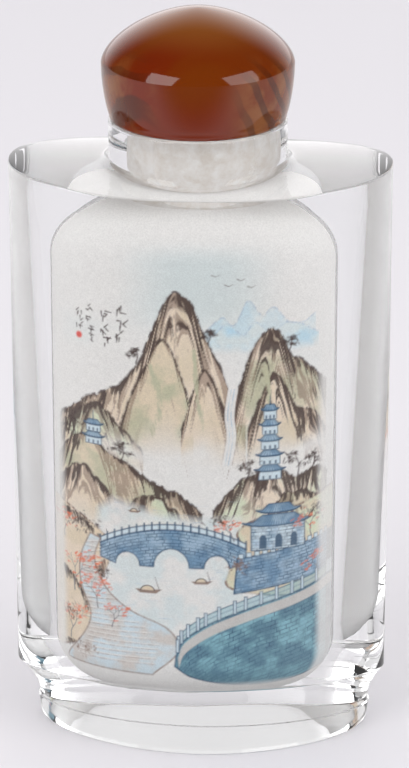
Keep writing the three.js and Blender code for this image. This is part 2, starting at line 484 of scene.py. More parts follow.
ground_neck, tree, shader = new_material("ground_neck")
nodes, links = tree.nodes, tree.links
coordinates = nodes.new("ShaderNodeTexCoord")
mottling = nodes.new("ShaderNodeTexNoise")
mottling.inputs["Scale"].default_value = GRIT_SCALE
mottling.inputs["Detail"].default_value = 5.0
mottling.inputs["Roughness"].default_value = 0.7
tint = nodes.new("ShaderNodeValToRGB")
dark_end, light_end = tint.color_ramp.elements
dark_end.position, dark_end.color = 0.35, GRIT_DARK
light_end.position, light_end.color = 0.66, GRIT_LIGHT
links.new(coordinates.outputs["Object"], mottling.inputs["Vector"])
links.new(mottling.outputs["Fac"], tint.inputs["Fac"])
links.new(tint.outputs["Color"], shader.inputs["Base Color"])
shader.inputs["Roughness"].default_value = 0.8
shader.inputs["IOR"].default_value = GLASS_IOR
shader.inputs["Transmission Weight"].default_value = NECK_LETS_THROUGH
glass.data.materials.append(ground_neck)
print("finishes of the glass:", [finish.name for finish in glass.data.materials])

# %% Give the hollow its ground faces
GROUND, COARSE = 1, 2
COARSE_ABOVE = 69.0
RIM_LINE = NECK_TOP - 0.2
first_ground_vertex = GLASS_SIDES * (len(outside_rings()) + 1)
counts = [0, 0, 0]
for face in glass.data.polygons:
    lowest = min(glass.data.vertices[i].co.z for i in face.vertices) / MM
    if min(face.vertices) >= first_ground_vertex and lowest < RIM_LINE:
        face.material_index = COARSE if lowest > COARSE_ABOVE else GROUND
    counts[face.material_index] += 1
print("clear, ground and neck faces:", counts)
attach(glass, "root")
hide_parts("bottle")

# %% [markdown]
# ## Paint that lies behind glass
#
# The picture is painted on the ground wall, so it is a thin sheet that lies a few
# hundredths of a millimetre inside the glass. A painter behind glass lays the nearest
# things first; here the order is the usual one, from the sky forwards.
#
# A colour looks darker behind glass than it is, because part of the light is thrown back
# onto the paint on its way out. `seen` turns the colour that should be seen from outside,
# in the usual steps of 0 to 255, into the colour of the paint itself.

# %% Colours
LIGHT_LET_OUT = 0.367
LIGHT_THROWN_BACK = 0.596
WHITEST_PAINT = 0.97


def seen(red, green, blue):
    """Linear paint colour that looks like this screen colour through the glass."""
    screen = np.array([red, green, blue]) / 255
    look = np.where(screen < 0.04045, screen / 12.92, ((screen + 0.055) / 1.055) ** 2.4)
    return np.clip(look / (LIGHT_LET_OUT + LIGHT_THROWN_BACK * look), 0, WHITEST_PAINT)


PAPER = seen(216, 213, 209)
SKY = seen(190, 205, 207)
PALE_TEAL = seen(178, 192, 193)
SKY_BLUE = seen(146, 190, 218)
OCHRE = seen(198, 174, 144)
PEACH = seen(214, 186, 160)
OLIVE = seen(154, 152, 122)
MOSS = seen(186, 196, 160)
INK = seen(52, 42, 40)
BROWN_INK = seen(98, 76, 66)
BLUE_INK = seen(44, 62, 82)
STONE = seen(124, 150, 176)
PALE_STONE = seen(176, 198, 212)
DEEP_STONE = seen(84, 112, 142)
TEAL = seen(102, 148, 164)
DEEP_TEAL = seen(70, 100, 116)
PATH = seen(178, 170, 164)
LEAF_RED = seen(206, 86, 60)
SEAL_RED = seen(196, 52, 44)
TRUNK = seen(88, 88, 92)
print("paint for paper:", PAPER.round(3), "for ink:", INK.round(3))

# %% [markdown]
# ## A canvas of numbers
#
# The brushwork is worked out on an even grid of places, and the sheets pick up their
# colours from it later. `u` runs along the wall in millimetres from its middle, and `v` is
# the height above the table. Everything below is a rule or a seeded random draw, so the
# picture is the same on every run.

# %% Noise
LATTICE_SIZE = 97


def smooth(share):
    """0 to 1 with soft ends, for shares that may lie outside that range."""
    share = np.clip(share, 0, 1)
    return share * share * (3 - 2 * share)


def cloud(u, v, size, seed, layers=4):
    """Soft noise between 0 and 1, built from layers that each halve in size."""
    total, weight = 0.0, 0.0
    for layer in range(layers):
        lattice = np.random.default_rng(seed + layer).random((LATTICE_SIZE, LATTICE_SIZE))
        x, y = u / size * 2 ** layer, v / size * 2 ** layer
        column, row = np.floor(x).astype(int), np.floor(y).astype(int)
        across, up = smooth(x - column), smooth(y - row)
        c0, c1 = column % LATTICE_SIZE, (column + 1) % LATTICE_SIZE
        r0, r1 = row % LATTICE_SIZE, (row + 1) % LATTICE_SIZE
        low = lattice[r0, c0] * (1 - across) + lattice[r0, c1] * across
        high = lattice[r1, c0] * (1 - across) + lattice[r1, c1] * across
        total = total + (low * (1 - up) + high * up) / 2 ** layer
        weight += 1 / 2 ** layer
    return total / weight


print("noise at one place:", round(float(cloud(np.array(1.5), np.array(2.5), 2.0, 11)), 3))


# %% Canvas
class Canvas:
    """Colours on an even grid of places on the wall."""

    def __init__(self, half_width, low, high, step, ground):
        self.left, self.low, self.step = -half_width, low, step
        u = np.arange(-half_width, half_width + step / 2, step)
        v = np.arange(low, high + step / 2, step)
        self.u, self.v = np.meshgrid(u, v)
        self.colour = np.ones(self.u.shape + (3,)) * ground

    def window(self, u, v, margin):
        """Slices of the grid around some places, with a margin."""
        rows, columns = self.u.shape
        c0 = int((np.min(u) - margin - self.left) / self.step)
        c1 = int((np.max(u) + margin - self.left) / self.step) + 2
        r0 = int((np.min(v) - margin - self.low) / self.step)
        r1 = int((np.max(v) + margin - self.low) / self.step) + 2
        return (slice(max(r0, 0), min(max(r1, 0), rows)), slice(max(c0, 0), min(max(c1, 0), columns)))

    def lay(self, cover, colour, window=(slice(None), slice(None))):
        """Lay a colour over a window; the cover runs from 0 for none to 1 for full."""
        part = self.colour[window]
        part += (colour - part) * np.clip(cover, 0, 1)[..., None]

    def pick(self, u, v):
        """Colours at any places, mixed from the four nearest places of the grid."""
        x = np.clip((u - self.left) / self.step, 0, self.u.shape[1] - 1.001)
        y = np.clip((v - self.low) / self.step, 0, self.u.shape[0] - 1.001)
        c, r = x.astype(int), y.astype(int)
        across, up = (x - c)[..., None], (y - r)[..., None]
        low = self.colour[r, c] * (1 - across) + self.colour[r, c + 1] * across
        high = self.colour[r + 1, c] * (1 - across) + self.colour[r + 1, c + 1] * across
        return low * (1 - up) + high * up


# %% [markdown]
# ## Brushes
#
# A stroke is a chain of short straight pieces. For each place near it we need only the
# distance to the nearest piece, and how far along the stroke that is, so it can thin
# towards its tip. `dry` breaks the stroke up, as a brush with little ink does.

# %% Strokes
def bent(points, steps=8):
    """A smooth line through a few points, by Catmull-Rom."""
    p = np.array(points, float)
    p = np.vstack([2 * p[0] - p[1], p, 2 * p[-1] - p[-2]])
    line = []
    for a, b, c, d in zip(p, p[1:], p[2:], p[3:]):
        for t in np.arange(steps) / steps:
            bend = (2 * a - 5 * b + 4 * c - d) * t ** 2 + (3 * b - a - 3 * c + d) * t ** 3
            line.append((2 * b + (c - a) * t + bend) / 2)
    return np.array(line + [p[-2]])


def stroke(canvas, line, width, colour, strength=1.0, dry=0.0, thin=0.35, seed=0):
    """Draw a line of points with a brush that thins to a share of its width at the tip."""
    line = np.array(line, float)
    window = canvas.window(line[:, 0], line[:, 1], width / 2 + canvas.step)
    u, v = canvas.u[window], canvas.v[window]
    if u.size == 0:
        return
    cover = np.zeros_like(u)
    for k in range(len(line) - 1):
        (u0, v0), (u1, v1) = line[k], line[k + 1]
        du, dv = u1 - u0, v1 - v0
        along = np.clip(((u - u0) * du + (v - v0) * dv) / max(du * du + dv * dv, 1e-9), 0, 1)
        away = np.hypot(u - u0 - along * du, v - v0 - along * dv)
        done = (k + along) / (len(line) - 1)
        half = width / 2 * (1 - (1 - thin) * done)
        cover = np.maximum(cover, np.clip((half - away) / canvas.step + 0.5, 0, 1))
    if dry:
        grain = cloud(u * 1.0, v * 0.45, 0.32, 71 + seed, 2)
        cover = cover * (1 - dry * smooth((grain - 0.38) * 4))
    canvas.lay(cover * strength, colour, window)


# %% [markdown]
# A filled shape is a closed outline. A place is inside it when a level line from there
# crosses the outline an odd number of times, and the distance to the nearest side gives
# the wash its soft edge.

# %% Filled shapes
def inside(canvas, outline, soft=0.12):
    """Cover of a closed outline of points: 1 inside, 0 outside, with a soft edge."""
    outline = np.array(outline, float)
    window = canvas.window(outline[:, 0], outline[:, 1], soft)
    u, v = canvas.u[window], canvas.v[window]
    crossings = np.zeros(u.shape, bool)
    nearest = np.full(u.shape, 1e9)
    for (u0, v0), (u1, v1) in zip(outline, np.roll(outline, -1, 0)):
        du, dv = u1 - u0, v1 - v0
        straddles = (v0 > v) != (v1 > v)
        with np.errstate(divide="ignore", invalid="ignore"):
            crossings ^= straddles & (u < (v - v0) * du / dv + u0)
        along = np.clip(((u - u0) * du + (v - v0) * dv) / max(du * du + dv * dv, 1e-9), 0, 1)
        nearest = np.minimum(nearest, np.hypot(u - u0 - along * du, v - v0 - along * dv))
    signed = np.where(crossings, nearest, -nearest)
    return window, np.clip(signed / soft + 0.5, 0, 1)


def fill(canvas, outline, colour, strength=1.0, soft=0.12):
    """Fill a closed outline with an even colour."""
    window, cover = inside(canvas, outline, soft)
    canvas.lay(cover * strength, colour, window)


def fill_mixed(canvas, outline, first, second, size, seed, strength=1.0, soft=0.15):
    """Fill an outline with two colours that run into each other."""
    window, cover = inside(canvas, outline, soft)
    u, v = canvas.u[window], canvas.v[window]
    share = smooth(cloud(u, v, size, seed) * 2.4 - 0.7)[..., None]
    canvas.lay(cover * strength, first + (second - first) * share, window)


# %% [markdown]
# ## Things a landscape is made of
#
# Each thing below is drawn the way such pictures are taught. A hill is a pale wash under
# its ridge, with dark streaks that hang from the ridge and dry strokes that fall from
# its spurs. A wall is a wash, then its courses and joints.

# %% Hills
def ridge_line(knots, seed, rough):
    """A ridge through a few points, made uneven by noise."""
    line = bent(knots, 10)
    wobble = cloud(line[:, 0] * 1.3, line[:, 1] * 0, 1.1, seed, 3) - 0.5
    line[:, 1] += wobble * 2 * rough
    return line


def hill(canvas, ridge, foot, first, second, seed, strength=0.95):
    """Wash a hill in under its ridge, paler towards its foot."""
    u, v = canvas.u, canvas.v
    top = np.interp(u[0], ridge[:, 0], ridge[:, 1], left=-99, right=-99)[None, :]
    cover = smooth((top - v) / 0.25)
    fade = smooth((v - foot) / np.maximum(top - foot, 0.1) * 1.6 + 0.05)
    share = smooth(cloud(u, v, 2.6, seed) * 2.6 - 0.8)[..., None]
    canvas.lay(cover * fade * strength, first + (second - first) * share)


def edge_line(canvas, ridge, width, colour, strength, seed):
    """Line a ridge with a broken brush line."""
    stroke(canvas, ridge, width, colour, strength, dry=0.8, thin=1.0, seed=seed)


def spur(canvas, knots, reach, lean, count, seed, colour=INK, broad=0.5):
    """Let dry strokes fall from a spur, longest near its top."""
    rng = np.random.default_rng(seed)
    line = bent(knots, 12)
    for _ in range(count):
        share = rng.random() ** 1.3
        start = line[int(share * (len(line) - 1))] + rng.normal(0, 0.12, 2)
        length = reach * (1.05 - 0.6 * share) * rng.uniform(0.45, 1.1)
        slant = lean * rng.uniform(0.55, 1.25)
        falls = [np.array([slant * t * (1.15 - 0.3 * t), -t]) for t in (0, 0.35, 0.7, 1)]
        path = [start + fall * length for fall in falls]
        width = broad * rng.uniform(0.3, 1.0)
        stroke(canvas, path, width, colour, rng.uniform(0.45, 0.95), 0.75, 0.25, rng.integers(50))


def crags(canvas, ridge, depth, seed, colour=INK, strength=0.9, size=0.3):
    """Hang dark streaks from a ridge: dense at the crest, thinning out as they run downhill."""
    u, v = canvas.u, canvas.v
    top = np.interp(u[0], ridge[:, 0], ridge[:, 1], left=-99, right=-99)[None, :]
    drop = top - v
    steepness = np.interp(u[0], ridge[:, 0], np.gradient(ridge[:, 1], ridge[:, 0]))
    steepness = np.convolve(steepness, np.ones(15) / 15, "same")[None, :]
    uphill = u + drop * np.clip(steepness, -1.2, 1.2) * 0.4
    streak = cloud(uphill / size, drop * 0.16 / size, 1.0, seed, 3)
    patches = cloud(uphill, drop * 0.1, 2.0, seed + 4, 2)
    reach = depth * (0.15 + 1.5 * smooth(patches * 1.8 - 0.4))
    fade = 1 - drop / reach
    cover = smooth((streak - 0.66 + 0.42 * fade) * 6) * smooth(fade * 3) * smooth(drop / 0.12)
    canvas.lay(cover * strength, colour)


def craggy_hill(canvas, knots, foot, first, second, depth, seed):
    """A washed hill with crags of dark ink over longer ones of brown ink."""
    ridge = ridge_line(knots, seed, rough=0.4)
    hill(canvas, ridge, foot, first, second, seed)
    crags(canvas, ridge, depth * 2.6, seed + 7, BROWN_INK, 0.62, 0.2)
    crags(canvas, ridge, depth * 1.5, seed + 8, INK, 0.92, 0.28)
    edge_line(canvas, ridge, 0.26, INK, 0.85, seed)


# %% Masonry
TONES = 4096


def masonry(canvas, outline, first, second, seed, course=0.42, brick=0.95, bend=None):
    """Wash a wall in and rule its courses and joints; `bend` lifts the courses along it."""
    fill_mixed(canvas, outline, first, second, 1.6, seed)
    window, cover = inside(canvas, outline, 0.1)
    u, v = canvas.u[window], canvas.v[window]
    lift = bend(u) if bend else 0.0
    level = (v - lift) / course + 0.25 * (cloud(u, v, 2.0, seed + 9, 2) - 0.5)
    row = np.floor(level)
    bed = np.abs(level - np.round(level)) * course
    place = u / brick + 0.5 * (row % 2) + 0.15 * np.sin(row * 2.7)
    joint = np.abs(place - np.round(place)) * brick
    line = np.maximum(smooth((0.075 - bed) / 0.05), smooth((0.07 - joint) / 0.05))
    worn = 0.35 + 0.65 * smooth(cloud(u, v, 0.9, seed + 5, 2) * 3 - 0.9)
    canvas.lay(cover * line * worn * 0.85, BLUE_INK, window)
    tone = np.random.default_rng(seed).random(TONES)
    pick = (row * 57 + np.round(place) * 13).astype(int) % TONES
    canvas.lay(cover * (tone[pick] > 0.72) * 0.22, BLUE_INK, window)


def outline_stroke(canvas, outline, width=0.13, colour=BLUE_INK, strength=0.9):
    """Draw round a closed outline."""
    closed = np.vstack([outline, outline[:1]])
    stroke(canvas, closed, width, colour, strength, dry=0.25, thin=1.0)


def box(u0, u1, v0, v1):
    """Corners of a wall between two sides and two heights."""
    return np.array([(u0, v0), (u1, v0), (u1, v1), (u0, v1)])


# %% Roofs and towers
def roof(canvas, u0, u1, eave, rise, seed=0):
    """A tiled roof with swept-up eaves, ruled with tile lines."""
    middle, half = (u0 + u1) / 2, (u1 - u0) / 2
    share = np.linspace(-1, 1, 15)
    under = np.stack([middle + share * half, eave + 0.16 * rise * share ** 4 * 2.2], 1)
    crown = np.stack([middle + share[::-1] * half * 0.45, np.full(15, eave + rise)], 1)
    sides = [
        (middle + half * 0.72, eave + rise * 0.38),
        (middle - half * 0.72, eave + rise * 0.38),
    ]
    outline = np.vstack([under, sides[:1], crown, sides[1:]])
    fill_mixed(canvas, outline, DEEP_STONE, STONE, 0.9, seed)
    for k in np.linspace(-0.95, 0.95, max(int(half * 6), 5)):
        foot = (middle + k * half, eave + 0.3 * rise * k ** 4)
        top = (middle + k * half * 0.45, eave + rise)
        stroke(canvas, [foot, top], 0.09, BLUE_INK, 0.55, thin=1.0)
    outline_stroke(canvas, outline, 0.14)
    stroke(canvas, under, 0.2, BLUE_INK, 0.9, thin=1.0)


def tower(canvas, middle, foot, tiers, width, tier_height, seed):
    """A tower of storeys that narrow upwards, each under its own roof."""
    for tier in range(tiers):
        half = width / 2 * (1 - 0.11 * tier)
        low = foot + tier * tier_height
        wall = box(middle - half * 0.72, middle + half * 0.72, low, low + tier_height * 0.62)
        fill(canvas, wall, PALE_STONE)
        outline_stroke(canvas, wall, 0.11)
        for share in (-0.42, 0.0, 0.42):
            door = middle + share * half
            opening = box(door - 0.11, door + 0.11, low + 0.08, low + 0.5)
            fill(canvas, opening, BLUE_INK, 0.85, 0.08)
        eave = low + tier_height * 0.55
        roof(canvas, middle - half, middle + half, eave, tier_height * 0.42, seed + tier)
    tip = foot + tiers * tier_height
    stroke(canvas, [(middle, tip - 0.1), (middle, tip + 1.1)], 0.2, BLUE_INK, 0.9, thin=0.3)


# %% Trees
def branches(canvas, start, angle, length, depth, width, rng, tips):
    """Grow a bare tree: each branch forks until the depth runs out."""
    end = start + length * np.array([math.sin(angle), math.cos(angle)])
    middle = (start + end) / 2 + rng.normal(0, length * 0.07, 2)
    stroke(canvas, bent([start, middle, end], 4), width, TRUNK, 0.85, thin=0.6)
    if depth == 0:
        tips.append(end)
        return
    for side in (-1, 1):
        turn = side * rng.uniform(0.25, 0.75)
        shorter = length * rng.uniform(0.62, 0.85)
        branches(canvas, end, angle + turn, shorter, depth - 1, width * 0.66, rng, tips)
    tips.append(end)


def red_tree(canvas, foot, height, leaves, seed, lean=0.0):
    """A bare tree with red leaves dabbed on."""
    rng = np.random.default_rng(seed)
    tips = []
    branches(canvas, np.array(foot, float), lean, height * 0.36, 4, 0.2, rng, tips)
    for _ in range(leaves):
        spot = tips[rng.integers(len(tips))] + rng.normal(0, 0.3, 2)
        drift = np.array([rng.uniform(0.2, 0.5), rng.uniform(-0.1, 0.25)])
        width, strength = rng.uniform(0.16, 0.34), rng.uniform(0.5, 0.95)
        stroke(canvas, [spot, spot + drift], width, LEAF_RED, strength, 0.3, 0.6)


def bush(canvas, middle, size, count, seed, colour=INK, flat=0.6):
    """A clump of short dark dabs, thick in the middle."""
    rng = np.random.default_rng(seed)
    for _ in range(count):
        spot = np.array(middle) + rng.normal(0, 1, 2) * np.array([size, size * flat]) * 0.45
        drift = rng.normal(0, 0.22, 2) + np.array([0, -0.08])
        width, strength = rng.uniform(0.12, 0.34), rng.uniform(0.35, 0.9)
        stroke(canvas, [spot, spot + drift], width, colour, strength, 0.5, 0.5, rng.integers(40))


def pine(canvas, foot, height, seed):
    """A pine: a leaning trunk with flat pads of needles."""
    rng = np.random.default_rng(seed)
    base = np.array(foot, float)
    top = base + np.array([height * rng.uniform(-0.25, 0.25), height])
    stroke(canvas, bent([base, (base + top) / 2 + [0.12 * height, 0], top], 5), 0.18, INK, 0.9, thin=0.5)
    for share in (0.5, 0.68, 0.84, 1.0):
        side = rng.choice([-1, 1]) * (1.15 - share) * height * 0.5
        pad = base + (top - base) * share + [side, 0]
        bush(canvas, pad, height * 0.34, 16, rng.integers(999), INK, 0.28)


# %% [markdown]
# ## The picture
#
# A river landscape: far blue peaks, two great ochre hills with a waterfall between them,
# two towers, an arched bridge, and a stone quay in the foreground. The far things go on
# first, so the near ones can cover them. The canvas starts as bare white ground, with a
# soft teal wash where the sky will be.

# %% Sky
CANVAS_HALF_WIDTH, CANVAS_LOW, CANVAS_HIGH = 17.6, 5.0, 68.5
FINE_STEP, COARSE_STEP = 0.1, 0.5

front = Canvas(CANVAS_HALF_WIDTH, CANVAS_LOW, CANVAS_HIGH, FINE_STEP, PAPER)
u, v = front.u, front.v
haze = smooth((v - 52) / 5) * smooth((67 - v) / 5) * smooth(1.15 - np.abs(u - 1.0) / 10)
front.lay(haze * (0.55 + 0.45 * cloud(u, v, 6.0, 11)) * 0.85, SKY)
teal_patch = smooth((v - 54) / 4) * smooth((65.5 - v) / 3)
front.lay(teal_patch * smooth(1.25 - np.abs(u - 1.0) / 8) * 0.8, PALE_TEAL)
low_haze = smooth((v - 44) / 9) * smooth((57 - v) / 3)
front.lay(low_haze * smooth(cloud(u, v, 7.0, 12) * 2 - 0.6) * 0.3, SKY)
print("front canvas:", front.colour.shape)

# %% Far peaks
FAR_RIDGE = [
    (1.5, 54.2), (3.5, 56.2), (5, 55.3), (6.6, 58.2), (8.2, 56.4), (9.6, 57.3), (12, 55), (15, 56),
]
NEARER_RIDGE = [
    (0.5, 53), (2.4, 53.8), (4.2, 55.4), (6, 54), (7.4, 55.6), (9.4, 54.2), (11.4, 55.4), (15.5, 53.6),
]
for knots, seed, strength in ((FAR_RIDGE, 21, 0.55), (NEARER_RIDGE, 22, 0.95)):
    line = ridge_line(knots, seed, 0.2)
    hill(front, line, 51.5, SKY_BLUE, SKY, seed, strength)
    edge_line(front, line, 0.16, STONE, 0.7, seed)
print("far ridges reach:", max(height for _, height in FAR_RIDGE), "mm")

# %% [markdown]
# Each hill is a few points of its ridge, the height where its wash has faded out, its two
# colours, the depth of its crags, and a seed. The first two are the great hills, and the
# others are the lower shoulders in front of them.

# %% The great hills
GREAT_HILLS = (
    (
        [
            (-17, 42), (-13.5, 44.4), (-10.5, 46.2), (-8, 47.6), (-6, 50.4), (-4.2, 55.2), (-2.6, 58.6),
            (-1.2, 59.2), (0.4, 57.4), (1.8, 53.4), (3.2, 50.6), (4.6, 47), (6.4, 43),
        ],
        36.5, OCHRE, PEACH, 3.6, 31,
    ),
    (
        [
            (4.2, 44), (5.6, 47.6), (7.2, 52.4), (8.8, 54.6), (10.2, 54.2), (11.8, 51.2), (13.4, 50.2),
            (17, 47),
        ],
        37.5, PEACH, OLIVE, 3.4, 32,
    ),
    (
        [(-8.6, 41), (-7, 45.6), (-5.2, 50), (-3.6, 53.4), (-2.2, 52.2), (-0.8, 48.2), (0.4, 44)],
        37, OCHRE, OLIVE, 3.0, 233,
    ),
    (
        [(-1.0, 42), (0.2, 46.4), (1.4, 49.8), (2.6, 48.6), (3.6, 45.4), (4.8, 42)],
        37, PEACH, OCHRE, 2.6, 234,
    ),
    (
        [(-17, 40.6), (-14.6, 42.4), (-12, 44.6), (-10, 44), (-7.8, 41.4), (-5.4, 38.6)],
        36, OCHRE, MOSS, 2.6, 235,
    ),
    (
        [(6.6, 42), (8.2, 46.4), (9.6, 49.2), (11, 47.4), (12.4, 44.6), (14.2, 44), (17, 41)],
        37, OCHRE, PEACH, 3.0, 236,
    ),
)
for knots, foot, first, second, depth, seed in GREAT_HILLS:
    craggy_hill(front, knots, foot, first, second, depth, seed)
print("great hills and their shoulders:", len(GREAT_HILLS))

# %% [markdown]
# Dry olive strokes follow the spurs between the crags. The waterfall is bare paper with
# thin lines down it, blue inside and brown along its banks.

# %% Spurs and the waterfall
GREAT_SPURS = (
    ([(-4.6, 50), (-3.4, 46), (-4.8, 41.5)], 40, 51),
    ([(8.6, 50), (8.9, 46), (8.2, 42.5)], 34, 52),
    ([(0.4, 52), (0.6, 47), (1.4, 43)], 34, 53),
)
for knots, count, seed in GREAT_SPURS:
    spur(front, knots, 2.6, 0.15, count, seed, OLIVE, 0.5)
fall = bent([(4.9, 47.2), (4.5, 44), (4.7, 41), (4.2, 37.5)], 8)
stroke(front, fall, 1.15, PAPER, 0.95, thin=1.0)
for shift, ink, seed in (
    (-0.62, BROWN_INK, 61), (-0.22, STONE, 62), (0.15, STONE, 63), (0.6, BROWN_INK, 64),
):
    stroke(front, fall + [shift, 0], 0.13, ink, 0.7, 0.7, 0.8, seed)
print("spurs:", len(GREAT_SPURS), "length of the fall in mm:", round(fall[0, 1] - fall[-1, 1], 1))

# %% [markdown]
# A band of mist, which is bare paper laid over the feet of the great hills, parts them
# from the middle hills. That is how such a picture shows distance.

# %% Mist and middle hills
u, v = front.u, front.v
band = np.exp(-((v - 38.4 - 0.9 * np.sin(u * 0.5)) / 1.3) ** 2)
front.lay(band * smooth(cloud(u, v, 5.0, 71) * 2 - 0.35) * 0.8, PAPER)
MIDDLE_HILLS = (
    (
        [
            (-17.4, 37), (-14.6, 39.6), (-12, 40.2), (-9.6, 38.4), (-6.8, 36.8), (-3.6, 34.6),
            (-0.6, 33.2), (1.4, 31),
        ],
        27.0, OCHRE, OLIVE, 2.6, 35,
    ),
    (
        [(2.6, 31.6), (4.6, 34.2), (7, 36.2), (9.6, 36.8), (12.4, 35.6), (15, 36.4), (17.4, 35)],
        26.0, PEACH, MOSS, 2.4, 36,
    ),
    (
        [(-17.4, 33.4), (-15, 35.6), (-12.6, 36.2), (-10.6, 34), (-8.4, 32.4), (-6, 30)],
        27.0, OCHRE, PEACH, 2.4, 237,
    ),
    ([(-8, 31), (-6, 33), (-4, 33.2), (-1.8, 31.4), (0, 29)], 27.0, MOSS, OCHRE, 1.8, 238),
    ([(9, 31.5), (11, 33.4), (13, 33.6), (15, 32.6), (17.4, 33.2)], 26.0, OCHRE, OLIVE, 2.0, 239),
)
for knots, foot, first, second, depth, seed in MIDDLE_HILLS:
    craggy_hill(front, knots, foot, first, second, depth, seed)
print("middle hills:", len(MIDDLE_HILLS))

# %% [markdown]
# A tall tower stands on the right, and a low one on the left. Pines stand round both and
# on the ridges, where a few of them give the hills their size.

# %% Towers and pines
tower(front, middle=9.2, foot=35.4, tiers=5, width=3.7, tier_height=1.95, seed=81)
tower(front, middle=-11.6, foot=39.2, tiers=2, width=2.9, tier_height=1.6, seed=83)
PINES = (
    ((-14.4, 38.8), 3.0, 91), ((-8.2, 37.2), 2.6, 92), ((6.2, 35.2), 2.6, 93), ((12.6, 35.4), 3.0, 94),
    ((-6.3, 50.2), 1.8, 95), ((11.4, 51.6), 1.8, 96), ((2.0, 53), 1.6, 97), ((14.4, 35.8), 2.2, 98),
)
for foot, height, seed in PINES:
    pine(front, foot, height, seed)
print("pines:", len(PINES))

# %% [markdown]
# The river is bare paper with a little of the sky's colour in it. Its banks are washes
# with a broken brown edge, and short level strokes make its ripples.

# %% Banks and river
river = [
    (-11, 31), (-9, 32.6), (-4, 31), (1, 30.4), (5.6, 30.6), (6, 20), (0, 16.4), (-9, 12), (-12, 20),
]
fill_mixed(front, river, PAPER, SKY, 2.2, 100, 0.9, 1.2)
LEFT_BANK = [
    (-17.6, 31), (-13.5, 29.6), (-10.2, 27.4), (-9.6, 24.5), (-10.8, 21), (-9.4, 17), (-11.5, 13.5),
    (-17.6, 11),
]
RIGHT_BANK = [
    (17.6, 33), (12, 31.4), (7.4, 30.2), (5.4, 28.6), (6, 26.4), (4.4, 23.6), (5.4, 21), (17.6, 19),
]
left_bank, right_bank = bent(LEFT_BANK, 8), bent(RIGHT_BANK, 8)
fill_mixed(front, np.vstack([left_bank, [(-18, 11), (-18, 31)]]), PEACH, OCHRE, 2.4, 101)
fill_mixed(front, np.vstack([right_bank, [(18, 19), (18, 33)]]), OCHRE, MOSS, 2.4, 102)
for line, seed in ((left_bank, 103), (right_bank, 104)):
    edge_line(front, line, 0.28, BROWN_INK, 0.9, seed)
BANK_SPURS = (
    ([(-16.5, 30), (-13, 29), (-10.6, 26.6)], 60, 105, INK),
    ([(-10.4, 24), (-11.4, 20.6), (-10.2, 17)], 60, 106, BROWN_INK),
    ([(-16.6, 22), (-14, 20.4), (-12.6, 17)], 56, 107, INK),
    ([(7, 29.6), (10, 30.6), (14, 31.4)], 60, 108, BROWN_INK),
    ([(-12, 13.8), (-14.4, 12.4), (-17, 12)], 40, 109, INK),
)
for knots, count, seed, ink in BANK_SPURS:
    spur(front, knots, 1.5, 0.35, count, seed, ink, 0.5)
rng = np.random.default_rng(110)
for _ in range(60):
    middle = np.array([rng.uniform(-9, 4.5), rng.uniform(16.5, 33)])
    reach = rng.uniform(0.4, 1.5)
    ripple = [middle, middle + [reach, rng.uniform(-0.05, 0.12)]]
    stroke(front, ripple, 0.1, STONE, rng.uniform(0.2, 0.6), 0.4, 0.3)
print("points on the banks:", len(left_bank) + len(right_bank))

# %% [markdown]
# The bridge's back is a flat parabola, and its three arches are half circles drawn a
# little tall. Its courses rise and fall with its back.

# %% Arched bridge
BRIDGE_MIDDLE, BRIDGE_HALF = -2.2, 8.6


def bridge_top(u):
    """Height of the bridge's back."""
    return 26.4 + 2.5 * (1 - ((u - BRIDGE_MIDDLE) / BRIDGE_HALF) ** 2)


span = np.linspace(BRIDGE_MIDDLE - BRIDGE_HALF, BRIDGE_MIDDLE + BRIDGE_HALF, 25)
deck = np.stack([span, bridge_top(span)], 1)
under = [(BRIDGE_MIDDLE + BRIDGE_HALF, 24.6)]
for middle, half, rise in ((3.0, 1.5, 1.7), (-2.2, 2.1, 2.5), (-7.4, 1.5, 1.7)):
    for turn in np.linspace(0, math.pi, 12):
        under.append((middle + half * math.cos(turn), 24.0 + rise * math.sin(turn)))
under.append((BRIDGE_MIDDLE - BRIDGE_HALF, 24.6))
bridge = np.vstack([deck, under])
masonry(front, bridge, STONE, DEEP_STONE, 111, bend=bridge_top)
outline_stroke(front, bridge, 0.2)
rail = np.vstack([deck + [0, 0.05], (deck + [0, 0.75])[::-1]])
fill(front, rail, PALE_STONE, 0.95)
stroke(front, deck + [0, 0.75], 0.16, BLUE_INK, 0.9, thin=1.0)
stroke(front, deck + [0, 0.05], 0.14, BLUE_INK, 0.9, thin=1.0)
for post in np.linspace(span[0], span[-1], 20):
    foot = bridge_top(post)
    stroke(front, [(post, foot), (post, foot + 1.05)], 0.24, BLUE_INK, 0.85, thin=0.9)
print("span of the bridge in mm:", 2 * BRIDGE_HALF)

# %% [markdown]
# On the right bank a gatehouse with two roofs stands on a stone terrace. The terrace
# rises a little outwards, and its low posts follow that slope.

# %% Gatehouse and terrace
terrace = np.array([(5.0, 20.6), (17.6, 22.4), (17.6, 27.2), (5.4, 25.2)])
masonry(front, terrace, STONE, DEEP_STONE, 121, bend=lambda u: 0.14 * u)
outline_stroke(front, terrace, 0.2)
for post in np.arange(5.8, 17.5, 0.95):
    foot = 25.15 + 0.163 * (post - 5.4)
    merlon = box(post - 0.3, post + 0.3, foot, foot + 0.6)
    fill(front, merlon, PALE_STONE)
    outline_stroke(front, merlon, 0.11)
gate = box(7.0, 13.6, 26.2, 29.6)
masonry(front, gate, PALE_STONE, STONE, 122)
outline_stroke(front, gate, 0.16)
for middle in (8.4, 10.3, 12.2):
    arch = [(middle - 0.42, 26.4), (middle + 0.42, 26.4)]
    for turn in np.linspace(0, math.pi, 7):
        arch.append((middle + 0.42 * math.cos(turn), 27.7 + 0.5 * math.sin(turn)))
    fill(front, arch, BLUE_INK, 0.92, 0.1)
roof(front, 6.0, 14.6, 29.3, 1.5, seed=123)
roof(front, 7.6, 13.0, 31.0, 1.2, seed=124)
